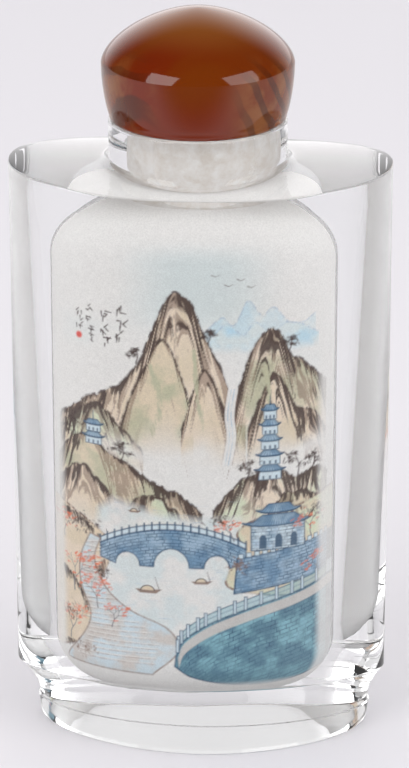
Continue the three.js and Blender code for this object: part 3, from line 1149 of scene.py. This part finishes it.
print("gatehouse in mm:", gate[0], gate[2])

# %% [markdown]
# A stepped path runs down the left bank, and each of its steps is a light stroke with a
# dark one under it. The quay in the foreground is the broadest area of teal stone. Its
# top edge carries a paved walk and a balustrade.

# %% Stepped path
PATH_RIGHT = [
    (-10.8, 27), (-11.6, 24), (-10.2, 20.6), (-7.2, 18), (-2.6, 15.8), (-1.4, 12.8), (-4.6, 9.4),
]
PATH_LEFT = [
    (-16.8, 9.6), (-13.6, 13.2), (-12.2, 16.6), (-13.6, 20.6), (-13.6, 24), (-12.2, 27.4),
]
path = np.vstack([bent(PATH_RIGHT, 8), bent(PATH_LEFT, 8)])
fill_mixed(front, path, PATH, PALE_STONE, 1.8, 130, 0.95, 0.2)
STEP_HEIGHTS = [10, 14, 18, 22, 27]
STEP_MIDDLES = [-9.5, -8, -10.4, -12.2, -11.6]
STEP_REACHES = [5.2, 4.4, 2.3, 1.3, 0.8]
rng = np.random.default_rng(131)
for share in np.linspace(0.02, 0.96, 24):
    row = 26.6 - share * 16.4
    middle = np.interp(row, STEP_HEIGHTS, STEP_MIDDLES)
    reach = np.interp(row, STEP_HEIGHTS, STEP_REACHES)
    tilt = rng.uniform(0.0, 0.3)
    tread = np.array([(middle - reach, row - tilt), (middle + reach, row + tilt)])
    stroke(front, tread + [0, 0.13], 0.2, PAPER, 0.85, 0.3, 0.7)
    stroke(front, tread, 0.13, BROWN_INK, rng.uniform(0.4, 0.75), 0.6, 0.6, rng.integers(50))
outline_stroke(front, path, 0.2, BROWN_INK, 0.75)
print("points round the path:", len(path))

# %% Quay and balustrade
quay_top = bent([(17.6, 21.4), (12, 20), (7, 18.6), (2.2, 16.6), (-0.8, 14.2), (-1.6, 12.2)], 8)
quay_foot = bent([(-1.8, 10.8), (0.4, 9.2), (5, 8.2), (11, 8), (17.6, 9)], 8)
quay = np.vstack([quay_top, quay_foot])


def quay_bend(u):
    """The quay's courses follow its top edge, which falls towards its rounded end."""
    return np.interp(u, [-2, 0, 3, 8, 17.6], [11.6, 14.4, 16.8, 19, 21.4])


masonry(front, quay, TEAL, DEEP_TEAL, 132, course=0.55, brick=1.25, bend=quay_bend)
window, cover = inside(front, quay, 0.3)
shade = smooth((13.5 - front.v[window]) / 6)
front.lay(cover * shade * 0.6, DEEP_TEAL, window)
outline_stroke(front, quay, 0.2)
walk = np.vstack([quay_top + [0.2, -0.2], (quay_top + [0.3, -1.5])[::-1]])
fill(front, walk, PATH, 0.9, 0.15)
for height, width in ((0.1, 0.17), (0.75, 0.1), (1.35, 0.17)):
    stroke(front, quay_top + [0, height], width, BLUE_INK, 0.85, 0.1, 1.0)
railing = np.vstack([quay_top + [0, 0.1], (quay_top + [0, 1.35])[::-1]])
fill(front, railing, TEAL, 0.55)
for share in np.linspace(0.02, 0.97, 15):
    foot = quay_top[int(share * (len(quay_top) - 1))]
    post = box(foot[0] - 0.17, foot[0] + 0.17, foot[1], foot[1] + 1.75)
    fill(front, post, PALE_STONE)
    outline_stroke(front, post, 0.12)
print("points round the quay:", len(quay))

# %% [markdown]
# Three small boats lie on the river, and each is smaller the further off it is. A boat is
# a hull, a rounded awning and a pole, all worked out from its middle and its size.

# %% Boats
def boat(canvas, middle, height, size):
    """A boat with an awning and a pole."""

    def at(across, up):
        return middle + across * size, height + up * size

    fill(canvas, [at(-1.5, 0.35), at(-0.9, -0.15), at(1.0, -0.15), at(1.7, 0.4)], BROWN_INK, 0.9, 0.1)
    turns = np.linspace(0, math.pi, 9)
    awning = [at(-0.8 * math.cos(turn), 0.25 + 0.6 * math.sin(turn)) for turn in turns]
    fill(canvas, awning, OCHRE, 0.95, 0.1)
    stroke(canvas, awning, 0.13, INK, 0.9, thin=1.0)
    stroke(canvas, [at(1.4, 0.3), at(0.9, 2.0)], 0.1, INK, 0.9)


BOATS = ((-5.0, 20.6, 1.0), (1.2, 22.0, 0.75), (-6.6, 31.0, 0.5))
for middle, height, size in BOATS:
    boat(front, middle, height, size)
print("boats:", len(BOATS))

# %% [markdown]
# Trees with red leaves and dark bushes stand along the banks, and four birds fly over the
# far peaks. Red is the brightest accent of the picture, so it is spread in small dabs.

# %% Trees, bushes and birds
RED_TREES = (
    ((-14.6, 19.2), 5.2, 46, 141, 0.12), ((-11.2, 17.6), 4.0, 34, 142, -0.1),
    ((-15.4, 12.6), 4.2, 34, 143, 0.25), ((-9.4, 15.4), 2.8, 16, 144, 0.3),
    ((14.6, 27.2), 3.6, 26, 145, -0.1), ((5.0, 27.6), 2.8, 22, 146, -0.35),
    ((-16.4, 26.0), 3.6, 22, 147, 0.2), ((15.8, 21.8), 3.2, 22, 148, -0.2),
)
for foot, height, leaves, seed, lean in RED_TREES:
    red_tree(front, foot, height, leaves, seed, lean)
BUSHES = (
    ((-13.2, 28.6), 2.4, 70, 151, INK), ((-15.6, 16.2), 2.2, 60, 152, BROWN_INK),
    ((-10.6, 22.6), 1.2, 34, 153, INK), ((5.6, 24.4), 1.5, 44, 154, BROWN_INK),
    ((15.4, 30.6), 2.0, 50, 155, INK), ((-12.8, 11.8), 1.8, 40, 156, BROWN_INK),
    ((3.4, 30.4), 1.3, 34, 157, INK),
)
for middle, size, count, seed, ink in BUSHES:
    bush(front, middle, size, count, seed, ink)
for middle, height in ((4.4, 60.2), (5.8, 60.9), (7.0, 60.0), (2.9, 61.4)):
    wings = [(middle - 0.45, height + 0.16), (middle, height), (middle + 0.45, height + 0.2)]
    stroke(front, bent(wings, 4), 0.12, INK, 0.8)
print("red trees:", len(RED_TREES), "bushes:", len(BUSHES))

# %% [markdown]
# Upper left, four columns of marks and a red dab hold the place of an inscription. Each
# mark is a few short strokes drawn at random, and none of them is a letter.

# %% Columns of marks
MARK_COLUMNS = (
    (-8.2, 57.6, 3, 1.3), (-10.2, 56.9, 3, 1.3), (-12.0, 57.0, 4, 0.9), (-13.4, 56.2, 2, 0.9),
)
STROKE_TURNS = [0.1, 0.15, 1.5, 1.65, 0.75, -0.75]
rng = np.random.default_rng(161)
for column, top, marks, size in MARK_COLUMNS:
    for k in range(marks):
        middle = np.array([column, top - (k + 0.5) * size * 1.3])
        for _ in range(5):
            start = middle + rng.uniform(-0.42, 0.42, 2) * size
            turn = rng.choice(STROKE_TURNS)
            reach = rng.uniform(0.25, 0.6) * size
            end = start + reach * np.array([math.cos(turn), -math.sin(turn)])
            stroke(front, [start, end], 0.17 * size ** 0.5, INK, 0.95, thin=0.5)
turns = np.linspace(0, 2 * math.pi, 12, endpoint=False)
seal = np.stack([-13.4 + 0.42 * np.cos(turns), 52.9 + 0.42 * np.sin(turns)], 1)
fill(front, seal, SEAL_RED, 0.95, 0.2)
print("marks:", sum(marks for _, _, marks, _ in MARK_COLUMNS))

# %% [markdown]
# The paint thins towards the sides, the floor and the neck, where the brush hardly
# reaches, and a fine unevenness runs through all of it.

# %% Wear of the paint
u, v = front.u, front.v
front.colour *= 1 + 0.07 * (cloud(u, v, 0.5, 171, 3) - 0.5)[..., None]
front.lay(smooth((np.abs(u + 0.3) - 15.2) / 1.6) * 0.8, PAPER)
front.lay(smooth((8.8 - v) / 1.2), PAPER)
front.lay(smooth((v - 64.5) / 3) * 0.7, PAPER)
print("mean paint of the picture:", front.colour.mean((0, 1)).round(3))

# %% [markdown]
# ## Sheets that carry the picture
#
# A sheet starts as a flat grid primitive and is wrapped onto the wall of the hollow in
# edit mode. Each point of the grid takes its colour from a canvas, and the colour is kept
# as an attribute of the mesh. First we need the wall itself, as a fine ring at any height.

# %% Follow the wall
SHEET_GROW = 0.05
WALL_SIDES = 720


def wall_ring(height, grow):
    """A fine ring of the hollow's wall at a height, moved out by grow."""
    shoulder = chamber_ring(WALL_SIDES, 0, SHOULDER, grow)
    if height > SHOULDER:
        reach = BORE_RADIUS + grow
        bore_foot = ring(oval(WALL_SIDES, reach, reach, 2, BORE_X), BORE_FOOT)
        slope = between(bore_foot, shoulder, *SLOPE_SHARES)
        drop = (slope[0, 2] - height) / (slope[0, 2] - SHOULDER)
        return between(slope, shoulder, math.sin(math.acos(1 - drop)), drop)
    corner_top = chamber_ring(WALL_SIDES, 0, FLOOR + CHAMBER_CORNER, grow)
    wall_foot = corner_top[0, 2]
    if height > wall_foot:
        return between(corner_top, shoulder, 0, (height - wall_foot) / (SHOULDER - wall_foot))
    corner_foot = chamber_ring(WALL_SIDES, CHAMBER_CORNER, FLOOR + FLOOR_CROWN, grow)
    drop = (wall_foot - height) / (wall_foot - corner_foot[0, 2])
    return between(corner_top, corner_foot, 1 - math.cos(math.asin(drop)), drop)


widest = wall_ring(SHOULDER, SHEET_GROW)
WALL_LENGTH = np.linalg.norm(widest - np.roll(widest, 1, 0), axis=1).sum()
print("length around the wall in mm:", round(float(WALL_LENGTH), 1))


# %% Wrap and paint a grid
FRONT_SHARE = 0.75
SHEET_HALF_WIDTH = 19.4


def flat_grid(name, columns, rows):
    """A flat grid primitive in edit mode, with the column and row of each of its points."""
    clear_selection()
    bpy.ops.mesh.primitive_grid_add(x_subdivisions=columns, y_subdivisions=rows, size=2)
    sheet = take_primitive(name)
    bpy.ops.object.mode_set(mode="EDIT")
    mesh = bmesh.from_edit_mesh(sheet.data)
    flat = np.array([vert.co for vert in mesh.verts])
    column = np.round((flat[:, 0] + 1) / 2 * columns).astype(int)
    row = np.round((flat[:, 1] + 1) / 2 * rows).astype(int)
    return sheet, mesh, column, row


def place_and_paint(sheet, mesh, places, paint):
    """Move the points of a grid in edit mode to their places, and give them their paint."""
    for vert, place in zip(mesh.verts, places * MM):
        vert.co = place
    bmesh.update_edit_mesh(sheet.data)
    bpy.ops.object.mode_set(mode="OBJECT")
    shades = np.ones((len(paint), 4))
    shades[:, :3] = np.clip(paint, 0, 1)
    layer = sheet.data.color_attributes.new("paint", "FLOAT_COLOR", "POINT")
    layer.data.foreach_set("color", shades.ravel())
    keep_smooth(sheet, angle_deg=60)


def painted_sheet(name, canvas, grow, low, high, columns, rows):
    """Wrap a grid onto the front of the wall, and colour it from a canvas."""
    sheet, mesh, column, row = flat_grid(name, columns, rows)
    u = np.linspace(-SHEET_HALF_WIDTH, SHEET_HALF_WIDTH, columns + 1)
    v = np.linspace(low, high, rows + 1)
    stop = (FRONT_SHARE + u / WALL_LENGTH) * WALL_SIDES
    first = np.floor(stop).astype(int)
    share = (stop - first)[:, None]
    places = np.empty((rows + 1, columns + 1, 3))
    for level, height in enumerate(v):
        wall = wall_ring(height, grow)
        here, after = wall[first % WALL_SIDES], wall[(first + 1) % WALL_SIDES]
        places[level] = here + (after - here) * share
    place_and_paint(sheet, mesh, places[row, column], canvas.pick(u[column], v[row]))
    return sheet


# %% [markdown]
# ## How the paint looks
#
# The paint is dull, and the glass in front of it gives all the gloss. A fine grain on the
# object's own coordinates lets the ground surface show through the colour.

# %% Paint finish
GRAIN_SCALE = 5200.0
GRAIN_DARKEST, GRAIN_LIGHTEST = 0.92, 1.06

painted, tree, shader = new_material("inner_paint")
nodes, links = tree.nodes, tree.links
paint_layer = nodes.new("ShaderNodeAttribute")
paint_layer.attribute_name = "paint"
coordinates = nodes.new("ShaderNodeTexCoord")
grain = nodes.new("ShaderNodeTexNoise")
grain.inputs["Scale"].default_value = GRAIN_SCALE
grain.inputs["Detail"].default_value = 3.0
grain_range = nodes.new("ShaderNodeMapRange")
grain_range.inputs["From Min"].default_value = 0.3
grain_range.inputs["From Max"].default_value = 0.7
grain_range.inputs["To Min"].default_value = GRAIN_DARKEST
grain_range.inputs["To Max"].default_value = GRAIN_LIGHTEST
grained = nodes.new("ShaderNodeVectorMath")
grained.operation = "SCALE"
links.new(coordinates.outputs["Object"], grain.inputs["Vector"])
links.new(grain.outputs["Fac"], grain_range.inputs["Value"])
links.new(paint_layer.outputs["Color"], grained.inputs["Vector"])
links.new(grain_range.outputs["Result"], grained.inputs["Scale"])
links.new(grained.outputs["Vector"], shader.inputs["Base Color"])
shader.inputs["Roughness"].default_value = 0.9
shader.inputs["Specular IOR Level"].default_value = 0.0
print("nodes of the paint:", len(tree.nodes))

# %% [markdown]
# The picture is fine, so it is made as two sheets, one above the other. Behind them lies
# the white ground of the paint, a plain sheet on the hollow's side of the wall. It keeps
# the colours clear, and from behind it covers the picture.

# %% Make the sheets
SHEET_LOW, SHEET_JOIN, SHEET_HIGH = 6.6, 36.0, 69.1
white_ground = Canvas(CANVAS_HALF_WIDTH, CANVAS_LOW, CANVAS_HIGH, COARSE_STEP, PAPER)
for name, canvas, grow, low, high, columns, rows in (
    ("painting_high", front, SHEET_GROW, SHEET_JOIN, SHEET_HIGH, 380, 290),
    ("painting_low", front, SHEET_GROW, SHEET_LOW, SHEET_JOIN, 380, 270),
    ("painting_ground", white_ground, -SHEET_GROW, SHEET_LOW, SHEET_HIGH, 160, 200),
):
    sheet = painted_sheet(name, canvas, grow, low, high, columns, rows)
    sheet.data.materials.append(painted)
    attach(sheet, "root")
    report(sheet)

# %% [markdown]
# ## The agate cap
#
# A stone cap is turned and polished, so its shape is a profile swept around an axis.
# Only the profile is drawn, and *spin* does the turning. The side swells out from a
# rounded lower edge, and the dome is one quarter of a slightly pointed oval. The
# underside lies a hair above the rim of the neck.

# %% Profile of the cap
CAP_GAP = 0.04
CAP_BASE_RADIUS = 10.65
CAP_SIDE_HEIGHT = 6.6
CAP_DOME_FULLNESS = 1.62
CAP_SIDE_BULGE = 0.8
CAP_EDGE_ROUNDING = 0.5


def cap_profile():
    """Radius and height of the cap, from the middle of its underside to its top."""
    base = NECK_TOP + CAP_GAP
    dome_height = cap_high[2] - cap_low[2] - CAP_SIDE_HEIGHT
    side_low = cap_low[2] + CAP_EDGE_ROUNDING
    points = [(r, base) for r in np.linspace(0, CAP_BASE_RADIUS - CAP_EDGE_ROUNDING, 8)]
    for turn in np.linspace(0, math.pi / 2, 8)[1:]:
        out = CAP_BASE_RADIUS - CAP_EDGE_ROUNDING * (1 - math.sin(turn))
        points.append((out, base + (side_low - base) * (1 - math.cos(turn))))
    swell = CAP_RADIUS - CAP_BASE_RADIUS
    side_top = cap_low[2] + CAP_SIDE_HEIGHT
    for share in np.linspace(0, 1, 24)[1:]:
        out = CAP_BASE_RADIUS + swell * math.sin(share * math.pi / 2) ** CAP_SIDE_BULGE
        points.append((out, side_low + (side_top - side_low) * share))
    power = 2 / CAP_DOME_FULLNESS
    for turn in np.linspace(0, math.pi / 2, 60)[1:]:
        out = CAP_RADIUS * max(math.cos(turn), 0) ** power
        points.append((out, side_top + dome_height * math.sin(turn) ** power))
    return points


print("points of the cap's profile:", len(cap_profile()))

# %% Turn the cap
CAP_TURNS = 192
MERGE_DISTANCE = 0.001 * MM


def turn_profile(name, profile, centre_x, turns):
    """Spin a profile of (radius, height) in millimetres around an upright axis."""
    clear_selection()
    bpy.ops.mesh.primitive_circle_add(vertices=3, radius=MM)
    piece = take_primitive(name)
    bpy.ops.object.mode_set(mode="EDIT")
    mesh = bmesh.from_edit_mesh(piece.data)
    bmesh.ops.delete(mesh, geom=list(mesh.verts), context="VERTS")
    line = [mesh.verts.new(((centre_x + r) * MM, 0, z * MM)) for r, z in profile]
    for first, second in zip(line, line[1:]):
        mesh.edges.new((first, second))
    bmesh.update_edit_mesh(piece.data)
    bpy.ops.mesh.select_all(action="SELECT")
    centre = (centre_x * MM, 0, 0)
    bpy.ops.mesh.spin(steps=turns, angle=2 * math.pi, center=centre, axis=(0, 0, 1))
    bpy.ops.mesh.select_all(action="SELECT")
    bpy.ops.mesh.remove_doubles(threshold=MERGE_DISTANCE)
    bpy.ops.mesh.normals_make_consistent(inside=False)
    bpy.ops.object.mode_set(mode="OBJECT")
    return piece


cap = turn_profile("agate_cap", cap_profile(), NECK_X, CAP_TURNS)
keep_smooth(cap, angle_deg=50)
report(cap)

# %% [markdown]
# ## Agate
#
# Agate is dark amber, redder on one side and near its foot, honey yellow on top, with
# paler brown clouds and fine dark stripes low down on both sides. Each of these is one
# pattern on the object's own coordinates, and mixes lay them over each other, from the
# broadest to the finest. A few helpers keep the node work short.

# %% Helpers for node patterns
def add_node(tree, kind, settings=(), **values):
    """A node with some of its settings and unlinked inputs filled in."""
    node = tree.nodes.new(kind)
    for key, value in dict(settings).items():
        setattr(node, key, value)
    for key, value in values.items():
        node.inputs[key.replace("_", " ")].default_value = value
    return node


def spread(tree, source, low, high, first=0.0, last=1.0):
    """Stretch a pattern so that low becomes first and high becomes last."""
    node = add_node(tree, "ShaderNodeMapRange", {"interpolation_type": "SMOOTHSTEP"})
    for key, value in (("From Min", low), ("From Max", high), ("To Min", first), ("To Max", last)):
        node.inputs[key].default_value = value
    tree.links.new(source, node.inputs["Value"])
    return node.outputs["Result"]


def times(tree, first, second):
    """Multiply two patterns."""
    node = add_node(tree, "ShaderNodeMath", {"operation": "MULTIPLY"})
    tree.links.new(first, node.inputs[0])
    tree.links.new(second, node.inputs[1])
    return node.outputs[0]


def lay_over(tree, share, under, over):
    """Lay a colour over another one where a pattern is strong."""
    node = add_node(tree, "ShaderNodeMix", {"data_type": "RGBA"})
    tree.links.new(share, node.inputs[0])
    for socket, colour in ((node.inputs[6], under), (node.inputs[7], over)):
        if isinstance(colour, tuple):
            socket.default_value = (*colour, 1)
        else:
            tree.links.new(colour, socket)
    return node.outputs[2]


# %% Colours and bounds of the agate
DEEP_RED = (0.118, 0.0110, 0.0003)
AMBER = (0.120, 0.0205, 0.0004)
HONEY = (0.185, 0.060, 0.010)
CLOUD_BROWN = (0.170, 0.056, 0.014)
STRIPE_BROWN = (0.045, 0.010, 0.003)
RED_NONE, RED_FULL = 6.0 * MM, -6.0 * MM
LOW_NONE, LOW_FULL = 88.5 * MM, 83.5 * MM
SIDE_NONE, SIDE_FULL = 3.5 * MM, 7.5 * MM
HONEY_NONE, HONEY_FULL = 87.4 * MM, 91.2 * MM
FOOT_NONE, FOOT_FULL = 84.5 * MM, 79.5 * MM
CORE_NONE, CORE_FULL = 6.5 * MM, 2.5 * MM
MOSTLY = 0.9
AGATE_ROUGHNESS, AGATE_IOR = 0.07, 1.54
print("cap from", round(float(cap_low[2]), 1), "to", round(float(cap_high[2]), 1), "mm")

# %% [markdown]
# Each pattern fades from none to full between two bounds. A height bound is a place on
# Z, a side bound is a distance from the middle on X, and the red goes from right to left.

# %% Patterns of the agate
agate, tree, shader = new_material("agate")
place = add_node(tree, "ShaderNodeTexCoord").outputs["Object"]
parts = add_node(tree, "ShaderNodeSeparateXYZ")
tree.links.new(place, parts.inputs[0])
broad = add_node(tree, "ShaderNodeTexNoise", Scale=62.0, Detail=3.0, Distortion=0.6)
clouds = add_node(tree, "ShaderNodeTexNoise", Scale=150.0, Detail=4.0, Distortion=1.2)
diagonal = {"bands_direction": "DIAGONAL"}
stripes = add_node(tree, "ShaderNodeTexWave", diagonal, Scale=150.0, Distortion=3.5, Detail=2.0)
for pattern in (broad, clouds, stripes):
    tree.links.new(place, pattern.inputs["Vector"])
red_side = times(
    tree,
    spread(tree, broad.outputs["Fac"], 0.42, 0.62),
    spread(tree, parts.outputs["X"], RED_NONE, RED_FULL, 0.25, 1.0),
)
low_down = spread(tree, parts.outputs["Z"], LOW_NONE, LOW_FULL)
away = add_node(tree, "ShaderNodeMath", {"operation": "ABSOLUTE"})
tree.links.new(parts.outputs["X"], away.inputs[0])
at_sides = spread(tree, away.outputs[0], SIDE_NONE, SIDE_FULL)
low_sides = times(tree, low_down, at_sides)
cloudy = times(tree, low_sides, spread(tree, clouds.outputs["Fac"], 0.36, 0.62))
striped = times(tree, low_sides, spread(tree, stripes.outputs["Fac"], 0.55, 0.85, 0, 0.7))
near_top = spread(tree, parts.outputs["Z"], HONEY_NONE, HONEY_FULL, 0.0, MOSTLY)
near_foot = times(
    tree,
    spread(tree, parts.outputs["Z"], FOOT_NONE, FOOT_FULL, 0.0, MOSTLY),
    spread(tree, away.outputs[0], CORE_NONE, CORE_FULL),
)
print("nodes of the patterns:", len(tree.nodes))

# %% Lay the agate's colours over each other
colour = lay_over(tree, red_side, AMBER, DEEP_RED)
colour = lay_over(tree, near_foot, colour, DEEP_RED)
colour = lay_over(tree, near_top, colour, HONEY)
colour = lay_over(tree, cloudy, colour, CLOUD_BROWN)
colour = lay_over(tree, striped, colour, STRIPE_BROWN)
tree.links.new(colour, shader.inputs["Base Color"])
shader.inputs["Roughness"].default_value = AGATE_ROUGHNESS
shader.inputs["IOR"].default_value = AGATE_IOR
cap.data.materials.append(agate)
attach(cap, "root")
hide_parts("stopper")
print("nodes of the agate:", len(tree.nodes))

# %% [markdown]
# ## Table, light and surroundings
#
# Glass and polished stone have no look of their own: they show their surroundings, bent
# or mirrored. Through the glass a white paper room shows, brighter at its two sides, and
# it also lights the picture. What the cap and the outer faces mirror is another matter: a
# studio keeps that dark with black cards above and in front, and leaves a glow behind and
# two soft boxes in front. The *Light Path* node tells the two apart, so no card has to
# stand in the scene, and the table is hidden from mirror rays because its mirror image is
# part of the same pattern.
#
# The table lies a hair under the foot, so that no two faces share one plane.

# %% Table
TABLE_GAP = 0.05 * MM
TABLE_SIZE = 4.0
TABLE_COLOUR = (0.74, 0.726, 0.754, 1)

clear_selection()
bpy.ops.mesh.primitive_plane_add(size=TABLE_SIZE, location=(0, 0, -TABLE_GAP))
table = take_primitive("table")
table.visible_glossy = False
table_white, tree, shader = new_material("table_white")
shader.inputs["Base Color"].default_value = TABLE_COLOUR
shader.inputs["Roughness"].default_value = 0.6
shader.inputs["Specular IOR Level"].default_value = 0.2
table.data.materials.append(table_white)
print("side of the table in m:", TABLE_SIZE)

# %% [markdown]
# The world's coordinates say which way a ray goes. Y tells behind from in front, X tells
# the sides, and Z below 0 is where the mirrored table lies. A ray is a mirror ray when it
# is glossy but hasn't just passed through glass.

# %% A choice between two numbers
def choose(tree, share, first, second):
    """A number between two others: the first where a pattern is 0, the second where it is 1."""
    node = add_node(tree, "ShaderNodeMix", {"data_type": "FLOAT"})
    tree.links.new(share, node.inputs[0])
    for socket, value in ((node.inputs[2], first), (node.inputs[3], second)):
        if isinstance(value, float):
            socket.default_value = value
        else:
            tree.links.new(value, socket)
    return node.outputs[0]


# %% Paper room and its mirror image
PAPER_ROOM, PAPER_SIDES = 0.81, 1.5
GLOW, DARK_ROOM = 1.75, 0.05
NEAR_TABLE, FRONT_TABLE = 0.80, 0.12
ROOM_COLOUR = (1.0, 0.985, 1.0, 1)

world = bpy.data.worlds.new("studio")
bpy.context.scene.world = world
world.use_nodes = True
tree = world.node_tree
background = tree.nodes["Background"]
toward = add_node(tree, "ShaderNodeSeparateXYZ")
tree.links.new(add_node(tree, "ShaderNodeTexCoord").outputs["Generated"], toward.inputs[0])
glow = spread(tree, toward.outputs["Y"], 0.45, 1.0, DARK_ROOM, GLOW)
mirrored_table = spread(tree, toward.outputs["Y"], -0.55, -0.92, NEAR_TABLE, FRONT_TABLE)
below = spread(tree, toward.outputs["Z"], 0.02, -0.02)
mirrored = choose(tree, below, glow, mirrored_table)
rays = add_node(tree, "ShaderNodeLightPath")
is_mirror_ray = add_node(tree, "ShaderNodeMath", {"operation": "SUBTRACT", "use_clamp": True})
tree.links.new(rays.outputs["Is Glossy Ray"], is_mirror_ray.inputs[0])
tree.links.new(rays.outputs["Is Transmission Ray"], is_mirror_ray.inputs[1])
aside = add_node(tree, "ShaderNodeMath", {"operation": "ABSOLUTE"})
tree.links.new(toward.outputs["X"], aside.inputs[0])
paper = spread(tree, aside.outputs[0], 0.6, 0.9, PAPER_ROOM, PAPER_SIDES)
strength = choose(tree, is_mirror_ray.outputs[0], paper, mirrored)
tree.links.new(strength, background.inputs["Strength"])
background.inputs["Color"].default_value = ROOM_COLOUR
print("brightness of the room:", PAPER_ROOM, "and of its sides:", PAPER_SIDES)

# %% [markdown]
# Two soft boxes stand in front, left and right, and their mirror images are the two pale
# panes on the cap. A third light fills the front, and no mirror ray sees it.

# %% Soft boxes
LIGHT_AIM = (0, 0, 0.05)


def soft_box(name, place, size, brightness):
    """A large rectangular light that points at the bottle."""
    data = bpy.data.lights.new(name, "AREA")
    data.shape = "RECTANGLE"
    data.size, data.size_y = size
    data.energy = brightness * math.pi * size[0] * size[1]
    lamp = bpy.data.objects.new(name, data)
    lamp.location = place
    bpy.context.scene.collection.objects.link(lamp)
    bpy.context.view_layer.update()
    away_from_aim = lamp.location - Vector(LIGHT_AIM)
    lamp.rotation_euler = away_from_aim.to_track_quat("Z", "Y").to_euler()
    print(name, "watts:", round(data.energy, 2))
    return lamp


soft_box("soft_box_left", (-0.63, -0.68, 0.42), (0.60, 0.80), 3.0)
soft_box("soft_box_right", (0.82, -0.48, 0.42), (0.72, 0.80), 2.4)
fill_light = soft_box("fill_light", (0.05, -1.2, 0.34), (1.2, 0.5), 1.0)
fill_light.visible_glossy = False

# %% Finish
bpy.context.scene.view_settings.view_transform = "Standard"
